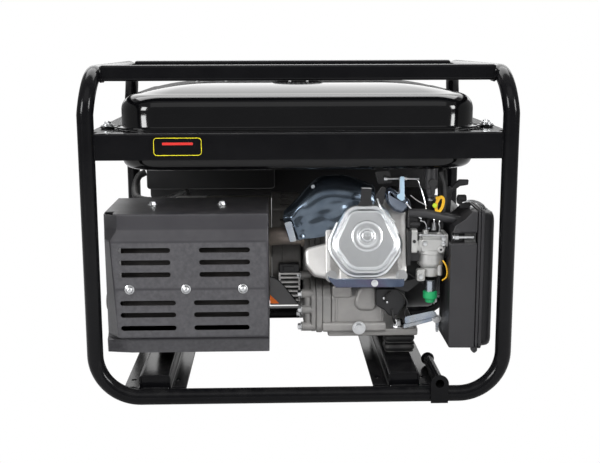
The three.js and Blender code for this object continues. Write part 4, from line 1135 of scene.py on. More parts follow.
def makeAlternator():
    stator = [ringAt([(71.5, -164.6), (98, -164.6), (98, -163), (97.4, -162.4), (97.4, -160), (98, -159.5),
                      (98, -47.5), (97.4, -47), (97.4, -45.6), (71.5, -45.6), (71.5, -164.6)], 128)]
    seams = [ringAt([(97.5, x), (98.35, x + 0.3), (98.35, x + 1.1), (97.5, x + 1.4), (97.5, x)], 96)
             for x in np.linspace(-150, -56, 3)]
    piece("stator_stack", stator + seams, stack, nodes=["stator"])
    front = ringAt([(32, -4), (94, -4), (95.5, -6), (95.5, -45), (104, -45), (105, -44), (105, -28),
                    (103.6, -26), (103.6, 0.5), (101, 5.5), (97, 7.4), (60, 7.6), (58, 7.0), (32, 7.0),
                    (32, -4)])
    # The front casting and its ears take the darker casting finish, which is painted shade.
    frontCasting = piece("front_casting", front, castInShade,
            nodes=["alternator_front_bracket"])
    turns = [a - 90 for a in (*range(196, 245, 7), *range(296, 345, 7), *range(20, 161, 10))]
    cutAway(frontCasting, around([sideSlot(-31, -5, 2.1, 80, 118)], turns), bevel=0.5)
    ears = around([block(-44.6, 4, 5, 15, alt["z"] + 101, alt["z"] + 111.5, 3)], (38, 142, 218, 322))
    piece("front_casting_ears", ears, castInShade)
    rear = ringAt([(13, -250), (30, -250), (32, -248), (32, -229), (60, -228.4), (84, -228), (91, -226),
                   (96, -221), (98, -213), (98, -166), (97.4, -165.4), (91, -165.4), (91, -212), (84, -219),
                   (13, -219), (13, -250)])
    rearCasting = piece("rear_casting", rear, cast, nodes=["alternator_rear_cover"])
    tools = around([endSlot(44, 80, 3, -240, -205)], [a for a in range(0, 360, 15) if a != 90])
    tools += around([sideSlot(-205, -176, 2.6, 80, 112)], range(110, 255, 12))
    cutAway(rearCasting, tools, bevel=0.5)
    cap = ringAt([(0.1, -257.6), (12, -257.6), (14, -256), (14, -244), (0.1, -244)], 40)
    foot = [block(-258, -185, -60, 80, 93, 105, 3), plate(roundPoly([(-50, 104), (70, 104), (46, 130),
            (-26, 130)], 6, 4), -217, -193, "yz", 1.5)]
    lugs = around([block(-226, -213, 4, 16, alt["z"] + 90, alt["z"] + 96.5, 2)], (45, 135, 225, 315))
    piece("rear_casting_foot", [cap] + foot + lugs, cast)
    core = ringAt([(0.1, -223), (11.8, -223), (11.8, -173), (50, -172), (52, -170), (52, -160), (69, -160),
                   (69, -51), (18.4, -51), (18.4, -88.8), (0.1, -88.8)], 64)
    piece("rotor_core", core, iron, "crank_train", ["rotor"])
    winding = [ringAt([(74, x), (90, x), (93, x + 8), (90, x + 16), (76, x + 16), (72, x + 8), (74, x)], 72,
                      lambda a, r: r + 0.8 * np.sin(a * 36)) for x in (-44.8, -181.2)]
    piece("winding_ends", winding, copper)
    guard = sheet([(-49, 178), (-32, 169), (2, 126), (-49, 126)], 1.5, 2, -107, -104.4, 0.5)
    trim = tube([(-49, -107.6, 178), (-32, -107.6, 169.4), (2, -107.6, 126.6)], 0.9, 8, 6)
    piece("belly_guard", guard, satinGrey)
    piece("belly_guard_edge", trim, blackPlastic)
    mark = sheet([(-49, 145), (-33, 129), (-49, 129)], 0.4, 2, -108, -107.2, 0.1)
    piece("plain_mark", mark, orange)
    box = [block(-33, 3, -106, -92, 184, 200, 2), block(-26, -6, -107.4, -104, 187, 196, 1)]
    piece("wire_block", box, blackPlastic)
    ribs = [block(-33.5, 4.5, -106.5, -90, z, z + 3.4, 0.8) for z in (132.4, 140.6, 148.8, 157.0, 165.2,
            173.4, 180.4)]
    # A black block behind the louvre ribs: painted shade seen between them.
    shadow = block(-31, 2, -96, -88, 130, 184, 1)
    piece("louvre_ribs", ribs + [block(-34, -29.5, -105, -92, 131, 184, 1),
            block(1, 5, -105, -92, 131, 184, 1)], cast)
    piece("louvre_painted_shade", shadow, blackPlastic)
    mountPad = [block(-257, -221, -54.8, 74.8, 79.6, 92.6, 2), block(-254, -224, -52, -24, 47.5, 80.4, 2),
                block(-254, -224, 44, 72, 47.5, 80.4, 2), block(-256.5, -221.5, -54, 74, 45.5, 48.5, 1)]
    piece("alternator_saddle", mountPad, paint, nodes=["alternator_mount"])


makeAlternator()
print("alternator built")


# Engine: sump, crankcase cover, finned cylinder and head, rocker cover.
tilt = {"about": 73.5, "y": 10, "z": 205}  # cylinder axis rises towards the front of the machine


def onCylinder(shells):
    # Shells drawn square to the bore, leaned over and moved to the crankshaft.
    return [moved(spun(s, "x", tilt["about"]), (0, tilt["y"], tilt["z"])) for s in flat(shells)]


def sumpOutline():
    # The crankcase seen along the shaft, and the sign that draws it in.
    pts = [(-151, 90), (-152, 150), (-143, 166), (-96, 180), (-88, 272), (-66, 295), (88, 295), (106, 272),
           (110, 90)]
    ring = roundPoly(pts, [10, 12, 14, 12, 20, 20, 22, 20, 10], 6)
    return ring, -1 if area2(ring) > 0 else 1


footBolts = [(x, y) for x in (60, 199) for y in (-138, 118)]
headBolts = [(53, -66), (169, -66), (169, 53), (53, 53)]


def makeCrankcase():
    ring, out = sumpOutline()
    body = [plate(ring, 56.5, 148, "yz", 3), plate(inward(ring, out * 2.5), 42, 56, "yz", 1.5),
            plate(inward(ring, out * 4), 30.6, 41.4, "yz", 2)]
    body.append(block(51, 208, -148, 128, 79.6, 92.4, 5, 2.5, "xy"))
    body.append(plate(roundRect(-159, -146, 90, 107, 5, 5), 41, 151, "yz", 3))
    body.append(sheet([(90, 126), (136, 126), (136, 172), (104, 172)], [16, 12, 12, 18], 6, -157, -140, 7,
                      5))
    body.append(sheet([(58, 150), (92, 150), (92, 172), (58, 172)], 6, 4, -155, -140, 3))
    body += [block(x, x + 3, -153.5, -140, 108, 160, 1.2) for x in (64, 141)]
    body.append(rod("x", 45, 147, 172, 10, 205, 48, 2))
    body += [rod("z", 8, 79.8, 97, x, y, 28, 2) for x, y in footBolts]
    piece("crankcase", body, greyCast, nodes=["engine_block"])
    heads = []
    for x, y in footBolts:
        heads += hexagon("z", 12, 97, 104, x, y, washer=1.5, dome=0.8)
    heads += hexagon("y", 14, -159.5, -168, 104, 98, washer=1.8, dome=1.0)
    piece("crankcase_bolts", heads, brightSteel)


def makeCrankCover():
    ring, out = sumpOutline()
    shells = [plate(inward(ring, out * 2), 22, 30.2, "yz", 1.5),
              plate(inward(ring, -out * 1.5), 9.5, 23, "yz", 6, 5)]
    shells.append(turned([(19, 8.2), (60, 8.2), (62, 10), (62, 14), (19, 14), (19, 8.2)], "x", (0, 10, 205),
            64))
    bosses, bolts = [], []
    for y, z in ((-146, 98), (-146, 128), (-144, 156), (-100, 178), (-84, 250), (-60, 290), (0, 291),
                 (60, 291), (100, 262), (104, 200), (104, 140), (104, 98), (30, 95), (-50, 95)):
        bosses.append(rod("x", 8, 5.5, 26, y, z, 24, 2))
        bolts += hexagon("x", 10, 5.5, -0.8, y, z, washer=1.2, dome=0.5)
    piece("crankcase_side", shells + bosses, greyCast, nodes=["crankcase_cover"])
    piece("crankcase_side_bolts", bolts, brightSteel)


finCount = 11


def makeCylinder():
    # A rounded core with thin fins stacked along the bore, then the head casting and its lobe.
    core = [plate(roundRect(60, 160, -52, 48, 26, 8), 62, 166, "xy", 1)]
    fins = [plate(roundRect(50, 169, -62, 60, 20, 8), z, z + 2.4, "xy", 1.1)
            for z in np.linspace(70, 158, finCount)]
    piece("cylinder_fins", onCylinder(core + fins), cast)
    head = [plate(roundRect(50, 172, -68, 56, 22, 8), 163, 212, "xy", 1),
            plate(roundRect(44, 178, -75, 62, 18, 8), 201.5, 212, "xy", 2.2)]
    head += [plate(roundRect(45, 177.5, -74, 61, 18, 8), z, z + 2.4, "xy", 1.1)
             for z in (168, 175.5, 183, 190.5, 196.5)]
    lobe = roundPoly([(9, -19), (45, -10), (66, -10), (66, -72), (25, -64), (10.5, -46)],
                     [10, 6, 2, 6, 12, 12], 6)
    head += [plate(lobe, 166, 210.5, "xy", 6, 5), plate(roundRect(66, 80, -74, -52, 3, 4), 205, 212.8, "xy",
            2)]
    head += [rod("z", 9, 200, 211.8, x, y, 32, 2) for x, y in headBolts]
    piece("head_casting", onCylinder(head), cast, nodes=["cylinder_head"])
    nuts = []
    for x, y in headBolts:
        nuts += hexagon("z", 12, 211.5, 217.5, x, y, washer=1.4, dome=0.8)
    piece("head_bolts", onCylinder(nuts), brightSteel)
    plug = [rod("x", 10.5, 172, 178.6, -172, 296, 32, 1)]
    boot = [(9.4, 178.4), (10, 180), (9.7, 184), (8.2, 186), (8.2, 192), (9.6, 194), (9.6, 200), (8, 205),
            (4, 205.9), (0.1, 205.9)]
    piece("plug_boot", [turned([(0.1, 178.4)] + boot, "x", (0, -172, 296), 36)], rubber,
          nodes=["spark_plug_cap"])
    piece("plug_seat", plug, cast)


rockerLid = {"x": 109, "y": -7, "foot": 212.6, "levels": ((-0.4, 0), (-0.6, 0.5), (-0.6, 2.0), (0, 2.8),
        (2.4, 3.0), (3.4, 3.8), (3.9, 5.6), (4.3, 19), (4.7, 22.5), (5.6, 24.6), (7.0, 25.6), (8.6, 25.5),
        (9.9, 24.6), (10.9, 23.4), (11.8, 23.0), (12.8, 23.5), (14.0, 24.7), (15.4, 25.3), (17.0, 25.4))}


def makeRockerCover():
    # The pressed lid: a foot, a drawn wall, a rolled rim, a groove and a raised middle with a dished washer.
    r = rockerLid
    corners = [(-66, -10), (-31, -61), (31, -61), (67, -12), (34, 61.5), (-32, 61.5)]
    outline = roundPoly(corners, [34, 36, 36, 34, 31, 31], 14)
    outline = outline + (r["x"], r["y"])
    if area2(outline) < 0:
        outline = outline[::-1]
    rings = [onPlane(inward(outline, d), r["foot"] + h, "xy") for d, h in r["levels"]]
    inner = inward(outline, 17.0)
    middle = np.array((r["x"] + 2, r["y"] + 5))
    for t in (0.8, 0.62):
        rings.append(onPlane(middle + (inner - middle) * t, r["foot"] + 25.4 + 0.25 * (1 - t), "xy"))
    lid = gridShell(np.array(rings))
    z = r["foot"] + 25.2
    dish = turned([(0.1, z), (25.2, z), (25.6, z + 0.8), (24.6, z + 1.8), (21, z + 2.5), (17.2, z + 2.2),
                   (15.2, z + 1.4), (14.4, z + 1.6), (0.1, z + 1.6)], "z", (*middle, 0), 72)
    bolt = [turned([(0.1, z + 1.5), (13.6, z + 1.5), (13.8, z + 2.6), (12.6, z + 3.4), (9.6, z + 3.5),
                    (9, z + 4.2), (8.6, z + 6.2), (7.4, z + 6.9), (3.4, z + 6.9), (3, z + 6.2),
                    (0.1, z + 6.1)], "z", (*middle, 0), 56)]
    piece("rocker_lid", onCylinder([lid]), polished, nodes=["rocker_cover"], angle=50, even=False)
    piece("rocker_dish", onCylinder([dish]), polished, angle=40)
    piece("rocker_bolt", onCylinder(bolt), polished)
    seal = plate(inward(outline, -0.9), 211.8, 213.2, "xy", 0.5)
    piece("rocker_seal", onCylinder([seal]), rubber)


def makeDeflector():
    # A pressed strip under the head with a rolled top edge, its left end drawn to a point.
    outline = roundPoly([(46, 203), (60, 198.5), (173, 198), (173, 187), (166, 184.5), (60, 185.5),
            (51, 195)], [1, 4, 1, 3, 4, 8, 3], 4)
    strip = plate(outline, -219.5, -218.0, "xz", 0.5)
    top = tube([(47, -218, 203), (60, -218, 199), (110, -218, 198.6), (173, -218, 198.2)], 1.0, 10)
    floorRun = block(60, 172, -218.5, -150, 184.2, 185.6, 0.6)
    piece("air_deflector", [strip, floorRun], purpleZinc)
    piece("air_deflector_edge", top, zinc)
    piece("air_deflector_bolt", hexagon("y", 7, -219.4, -222.6, 124, 191.5, washer=0.8, dome=0.6),
          brightSteel)


def makeCowl():
    # Black sheet over the fins, and the hook and clip on the head.
    roof = [plate(roundRect(34, 181, 66.5, 68.3, 0.8, 2), 72, 200, "xy", 0.4),
            plate(roundRect(34, 35.8, 10, 68, 0.8, 2), 76, 160, "xy", 0.4)]
    piece("cylinder_cowl", onCylinder(roof), satinPaint)
    hook = sheet([(95, 320), (100, 328), (101.5, 349), (117.5, 348), (117.5, 328), (122, 320)],
                 [1, 4, 2, 2, 4, 1], 4, -214.5, -212, 0.7)
    lip = block(101.5, 117.5, -214.4, -198, 346, 348.6, 1)
    edge = sweep(np.array([(101.8, -215, 349.4), (109, -215.2, 349.2), (117.4, -215, 348.6)]),
                 circle(0.7, 8))
    piece("lifting_hook", [hook, lip], blackPlastic)
    piece("lifting_hook_edge", edge, brightSteel)


makeCrankcase()
makeCrankCover()
makeCylinder()
makeRockerCover()
makeDeflector()
makeCowl()
print("engine built")


# Fan housing, starter cover, pulley, rope and handle.
starter = {"ropeX": 270, "ropeZ": 258, "bolts": 6, "boltOut": 100, "handleY": 130, "sides": 96}
oilPlug = {"x": 95, "z": 145}


def makeStarter():
    hub = (0, tilt["y"], tilt["z"])
    s, n = starter, starter["sides"]
    housing = turned([(84, 249.6), (103.6, 249.6), (107, 248), (109.4, 244), (109.6, 182), (113, 182),
                      (113.6, 184), (112, 186), (112, 245), (110, 250), (105.6, 251.8), (84, 251.8),
                      (84, 249.6)], "x", hub, n)
    duct = [plate(roundPoly([(-100, 200), (-60, 300), (-20, 317), (40, 317), (40, 300), (-40, 285),
            (-90, 195)], 8, 4), 176, 186, "yz", 1.5)]
    piece("fan_shroud", [housing] + duct, satinPaint, nodes=["fan_housing"])
    shell = turned([(95.4, 252.4), (88.6, 284), (74, 297.4), (0.1, 297.4), (0.1, 299.9), (76, 299.9),
                    (80, 299), (90, 287), (91.6, 284), (98, 255), (102, 255), (102.4, 253.6), (101.6, 252.4),
                    (95.4, 252.4)], "x", hub, n)
    ob = piece("starter_cover", shell, satinPaint, nodes=["recoil_cover"])
    tools = around([endSlot(36, 66, 2.6, 290, 310)], range(0, 360, 15))
    tools += around([sideSlot(258, 279, 3, 82, 110, 5)], [a for a in range(0, 360, 12) if not 255 < a < 330])
    tools.append(rod("y", 5.2, 70, 130, s["ropeX"], s["ropeZ"], 28, 0.01))
    cutAway(ob, tools, bevel=0.5)
    piece("starter_post", rod("x", 9.9, 258.5, 298, *hub[1:], 32, 1), brightSteel)
    eyelet = turned([(3.2, 90), (7.5, 90), (8, 97.5), (6.5, 99.6), (4, 99.6), (3.2, 97.5), (3.2, 90)], "y",
                    (s["ropeX"], hub[1], s["ropeZ"]), 32)
    piece("rope_eyelet", moved(eyelet, (0, -2, 0)), brightSteel)
    bolts = []
    for a in np.radians(20 + np.arange(s["bolts"]) * 360 / s["bolts"]):
        y, z = hub[1] + s["boltOut"] * math.sin(a), hub[2] + s["boltOut"] * math.cos(a)
        bolts += hexagon("x", 10, 254.6, 260, y, z, washer=1.2, dome=0.5)
    piece("starter_bolts", bolts, brightSteel)
    drum = turned([(10.8, 262.4), (56, 262.4), (58, 263.4), (57.6, 265), (50, 267), (50, 273), (57.6, 275),
                   (58, 276.6), (56, 277.6), (10.8, 277.6), (10.8, 262.4)], "x", hub, 72)
    piece("rope_drum", drum, blackPlastic, "recoil_pulley", ["recoil_pulley"])
    turns = [turned([(50.2, x - 1.4), (52.6, x - 1), (53, x), (52.6, x + 1), (50.2, x + 1.4)], "x", hub, 64)
             for x in (268.2, 271.2)]
    piece("wound_rope", turns, rope, "recoil_pulley")
    y = np.linspace(12.2, 121, 110)
    strand = 2.2 + 0.22 * np.cos(np.arange(12)[None, :] * tau / 12 * 3 + y[:, None] * 0.9)
    a = np.arange(12)[None, :] * tau / 12
    cord = np.stack([s["ropeX"] + strand * np.cos(a), np.repeat(y[:, None], 12, 1),
                     s["ropeZ"] + strand * np.sin(a)], -1)
    piece("starter_rope", gridShell(cord), rope, "recoil_grip")
    bulge = [(0.1, 236.4), (5.5, 236.4), (7.8, 238), (8.4, 242), (8.2, 250), (7.2, 262), (7.0, 270),
             (7.2, 278), (8.2, 290), (8.4, 298), (7.8, 302), (5.5, 303.6), (0.1, 303.6)]
    handle = turned(bulge, "x", (0, s["handleY"], s["ropeZ"]), 48, lambda k,
                    r: r * (1 + 0.04 * np.cos(2 * k)))
    neck = turned([(0.1, 113), (5, 113), (6.8, 115), (7, 124), (8, 130), (0.1, 130)], "y",
                  (s["ropeX"], 0, s["ropeZ"]), 36)
    ribs = [turned([(7.1, x - 0.8), (8.0, x - 0.5), (8.0, x + 0.5), (7.1, x + 0.8)], "x",
                   (0, s["handleY"], s["ropeZ"]), 40) for x in (252, 256, 284, 288)]
    piece("starter_handle", [handle, neck] + ribs, rubber, "recoil_grip", ["recoil_grip"])
    x, z = oilPlug["x"], oilPlug["z"]

    def grips(angle, r):
        return np.where(r > 15, r - 0.9 * (0.5 + 0.5 * np.cos(angle * 20)) ** 2, r)

    head = [(0.1, 105.4), (17, 105.4), (19, 106.2), (19, 111), (17.6, 113.2), (13, 113.6), (13, 120),
            (11.6, 121.4), (0.1, 121.4)]
    dip = [turned(head, "y", (x, 0, z), 72, grips),
           block(x - 2.6, x + 2.6, 113, 127, z - 17, z + 17, 2)]
    piece("oil_plug", dip, blackPlastic, "oil_filler_plug", ["oil_filler_plug"])


rope = finish("starterRope", (0.03, 0.03, 0.032), (0.05, 0.05, 0.052), 0.75, fine=1400, coarse=200, bump=0.5)
makeStarter()


def keepNode(name, material):
    # An inner CAD part that keeps its own shape and takes a worked finish.
    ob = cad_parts[name]
    if not ob.material_slots:
        ob.data.materials.append(material)
    for given in ob.material_slots:
        given.material = material


for nodeName, nodeFinish in {"crankshaft": iron, "flywheel": iron, "air_filter": foam}.items():
    keepNode(nodeName, nodeFinish)
print("starter built")


# Carburettor side: spacer, body, bowl, solenoid, levers, fuel cock and hoses.
carburettor = {"bowl": (220.5, -188, 0), "solenoid": (221, -188, 0), "spring": (222, -205, 0),
               "screws": ((202, -208.3, 199), (207, -212.2, 256), (238.2, -210.3, 264),
        (238.2, -210.3, 255))}


def makeCarburettor():
    insulator = [block(178.4, 183.6, -213, -161, 218, 278, 3, 1, "yz"),
                 block(183.6, 199, -205, -165, 224, 270, 3, 1, "yz")]
    piece("intake_block", insulator, blackPlastic, nodes=["intake_spacer"])
    body = [block(184.6, 194.6, -211, -166, 239, 279, 4, 1.2, "yz"),
            rod("x", 19, 194, 242, -188, 251, 48, 1), sheet([(201, 240), (240, 240), (241, 263), (201, 263)],
            5, 4, -209, -168, 3, 4), block(203, 238, -206, -170, 262, 267.5, 3, 1.2),
            block(238, 245.6, -210, -166, 249, 271, 4, 1.2, "yz"),
            rod("y", 5.6, -213.2, -200, 233.5, 245.5, 28, 1.2), rod("y", 4, -212, -200, 207, 256, 24, 1),
            rod("z", 5, 262, 276, 210, -196, 24, 1), rod("z", 4.2, 262, 272, 232, -198, 24, 1),
            block(197.5, 205, -208, -190, 248, 262, 2, 1.5)]
    piece("carburettor_body", body, carbCast, nodes=["carburetor_body"])
    bowl = turned([(0.1, 243.5), (23, 243.5), (24, 242.5), (24, 237), (22.8, 236), (22.4, 234.5),
                   (22.8, 222), (22.0, 217.5), (18.6, 213.6), (16.6, 212.4), (16, 200), (14.6, 197.2),
                   (11, 196.2), (0.1, 196.2)], "z", carburettor["bowl"], 72)
    lug = [sheet([(195.5, 190.8), (209, 190.8), (209, 211), (195.5, 211)], [3, 3, 2, 4], 5, -208, -192, 2.2),
           rod("z", 4.4, 200, 218, 233.5, -203, 24, 1.5)]
    piece("carburettor_bowl", [bowl] + lug, carbCast, nodes=["float_bowl"])
    # Black discs on the carburettor face: painted shade standing in for the insides of its holes.
    dark = [rod("y", 2.8, -212.4, -209.8, 189.4, 259.4, 24, 0.3),
            rod("y", 1.9, -214, -212.6, 233.5, 245.5, 20, 0.3)]
    piece("carburettor_hole_shade", dark, blackPlastic)
    screws = []
    for x, y, z in carburettor["screws"]:
        screws.append(turned([(0.1, y), (4.1, y), (4.3, y - 0.8), (3.4, y - 2), (0.1, y - 2.3)], "y",
                (x, 0, z), 28))
        screws.append(block(x - 2.8, x + 2.8, y - 2.6, y - 1.9, z - 0.45, z + 0.45, 0.15))
    piece("carburettor_screws", screws, brightSteel)
    link = [rod("y", 2.0, -214, -206, 199, 270.5, 16, 0.4), rod("y", 2.0, -214, -206, 234.5, 269.4, 16, 0.4)]
    link.append(sweep(np.array([(196.5, -212.6, 270.8), (216, -212.6, 270.2), (239, -212.6, 269.2)]),
                      circle(1.7, 14)))
    link.append(tube([(210, -196, 272), (210, -204, 283), (206, -207, 291), (199, -206, 293)], 0.9, 10))
    link.append(tube([(231, -198, 268), (232, -206, 281), (230, -208, 289), (232, -206, 296)], 0.9, 10))
    link += [turned([(3, z), (4.1, z + 0.7), (3, z + 1.4), (2.4, z + 0.7), (3, z)], "z",
                    carburettor["spring"], 28) for z in np.linspace(277, 288, 7)]
    link.append(tube([(222, -208.6, 288), (221, -208, 296), (217, -206, 301)], 0.8, 8))
    piece("throttle_link", link, brightSteel)
    can = turned([(0.1, 189.6), (9, 189.6), (9.4, 188.6), (8.2, 187.6), (8.2, 169), (0.1, 169)], "z",
                 carburettor["solenoid"], 48)
    piece("solenoid_can", [can], zinc, nodes=["fuel_cut_solenoid"])
    cap = turned([(0.1, 169.8), (11, 169.8), (11.8, 169), (11.8, 158.6), (11, 157.4), (8.6, 156.6),
                  (8.2, 152.2), (7.2, 150.6), (0.1, 150.4)], "z", carburettor["solenoid"], 64, lambda a,
                 r: np.where(r > 10.5, r - 0.35 * (np.cos(a * 24) > 0.3), r))
    piece("solenoid_cap", cap, green)
    lead = tube([(238, -206, 226), (243, -210, 218), (245, -211, 208), (243.5, -210, 198), (238, -206, 192)],
                1.4, 12, 10)
    piece("solenoid_lead", lead, yellow)


fuelCock = {"x": 218, "y": -190, "pivot": (218, 355.7), "clips": ((218, -190, 326), (216.2, -179.8, 277))}


def makeFuelCock():
    # Cock, filter bowl and lever under the tank, the hose below it and the marks on it.
    cock = turned([(0.1, 377.6), (10.6, 377.6), (10.9, 376.6), (10.9, 346), (9.8, 344.6), (7.6, 343.8),
                   (7.4, 336), (6, 334.6), (6, 330.2), (0.1, 330)], "z", (fuelCock["x"], fuelCock["y"], 0),
                  48)
    nut = hexagon("z", 19, 352, 344, fuelCock["x"], fuelCock["y"])
    side = rod("y", 6, -206, fuelCock["y"], *fuelCock["pivot"], 32, 0.8)
    piece("fuel_cock_body", [cock, side] + nut, greyPlastic, nodes=["fuel_cock"])
    hub = [rod("y", 7, -214.4, -206.6, *fuelCock["pivot"], 36, 1.4),
           sheet([(214.6, 355), (221.4, 355), (220.4, 334), (215.6, 334)], 2, 4, -214.2, -210.6, 1)]
    piece("cock_lever", hub, rubber, "fuel_cock_lever", ["fuel_cock_lever"])
    route = smoothPath([(218, -190, 332), (218, -189.5, 322), (218.6, -184, 310), (219, -179, 300),
                        (217.5, -178.5, 286), (216, -180, 273.5)], 8)
    piece("fuel_hose_run", sweep(route, circle(4, 20)), rubber, nodes=["fuel_hose"])
    clips = []
    for x, y, z in fuelCock["clips"]:
        clips.append(turned([(4.1, z - 1.6), (5.0, z - 1.6), (5.0, z + 1.6), (4.1, z + 1.6), (4.1, z - 1.6)],
                            "z", (x, y, 0), 32))
        clips.append(block(x - 2, x + 2, y - 9, y - 4.4, z - 1.5, z + 1.5, 0.5))
    piece("hose_clips", clips, zinc)
    extra = [tube([(232, -196, 372), (238, -199, 352), (240, -201, 330), (238, -200, 308), (226, -196, 290)],
                  3.6, 18), tube([(243, -180, 374), (245, -186, 340), (242, -190, 310), (233, -190, 286)],
            2.4, 14), tube([(243, -150, 378), (241, -152, 352), (243, -150, 326), (238, -146, 300)], 6.6,
            20)]
    piece("vent_hoses", extra, rubber)
    t = np.linspace(0, tau, 36, endpoint=False)
    loop = np.stack([231 + 5.5 * np.cos(t) + 2.5 * np.sin(t), np.full(36, -204.0), 320 + 12 * np.sin(t)], -1)
    piece("yellow_clip", [sweep(loop, np.array([[-1.2, -2.4], [1.2, -2.4], [1.2, 2.4], [-1.2, 2.4]]),
            closed=True, first=(0, 1, 0)), block(224, 231, -206, -203, 328, 333, 1.2)], yellow)
    piece("lime_dot", rod("y", 3.9, -212, -207.5, 222, 319, 32, 1), lime)


def makeLevers():
    # Governor arm with its light bracket, the wires, the electric starter's nose and the choke lever.
    arm = [rod("y", 7, -187, -181, 170, 330, 36, 1), sheet([(165.5, 328), (174.5, 328), (173, 364),
            (167, 364)], [3, 3, 3, 3], 4, -185.8, -183.6, 0.7),
           sweep(np.array([(141, -184, 360), (170, -184, 360.4), (199.4, -184, 359.6)]), circle(1.9, 16))]
    arm += hexagon("x", 7, 141, 146.5, -184, 360) + hexagon("x", 7, 174.5, 179, -184, 360.4)
    piece("governor_rod", arm, brightSteel, "governor_arm", ["governor_arm"])
    bracket = [sheet([(165, 366), (172.5, 366), (173.5, 328), (169, 325), (161, 331), (161, 336),
                      (166, 338)], [2, 2, 3, 3, 3, 2, 2], 4, -203, -201.2, 0.7)]
    piece("governor_bracket", bracket, paleBlue)
    wires = [tube([(197, -189.5, 357), (203, -192, 340), (208, -196, 322), (212, -200, 300)], 0.8, 8, 10),
              tube([(184, -196, 334), (196, -199, 325), (210, -204, 318)], 0.8, 8, 10),
              tube([(176, -200, 322), (190, -205, 306), (201, -208, 296)], 1.4, 10, 10),
              tube([(128, -205, 330), (134, -214, 316), (146, -219, 302), (156, -220, 294)], 1.8, 12, 10)]
    piece("control_wires", wires, brightSteel)
    kidney = roundPoly([(141, 337), (148, 349), (164, 338), (183, 326), (186, 312), (172, 303), (157, 307),
                        (144, 322)], [5, 6, 20, 9, 9, 10, 12, 14], 8)
    piece("starter_nose", plate(kidney, -200, -172, "xz", 9, 8), darkChrome)
    bracketBlack = [sheet([(124, 334), (136, 352), (142, 346), (138, 320), (128, 318)], 4, 4, -206, -203, 1),
                    block(180, 198, -196, -170, 278, 300, 3), block(184, 200, -204, -196, 284, 290, 1.5),
                    sheet([(126, 372), (150, 374), (156, 352), (132, 350)], 4, 4, -180, -176, 1)]
    piece("shroud_brackets", bracketBlack, blackPlastic)
    choke = [rod("y", 6, -174, -166, 252, 338, 32, 1.2), sheet([(248, 336), (256, 334), (270, 345),
            (283.6, 347), (284.6, 356), (268, 356.4), (262, 351)], [3, 3, 4, 2, 2, 4, 3], 4, -173, -167,
            1.6)]
    piece("choke_handle", choke, blackPlastic, "choke_lever", ["choke_lever"])
    post = [sheet([(246, 300), (256, 300), (258, 340), (247, 344)], 3, 4, -165.6, -162, 1)]
    piece("choke_post", post, blackPlastic)


airCleaner = {"front": -232, "back": -135.4, "ribs": ((290.2, 294.6), (295.4, 300.6)), "stud": (-228, 269.5),
              "knob": (0, -192, 326)}


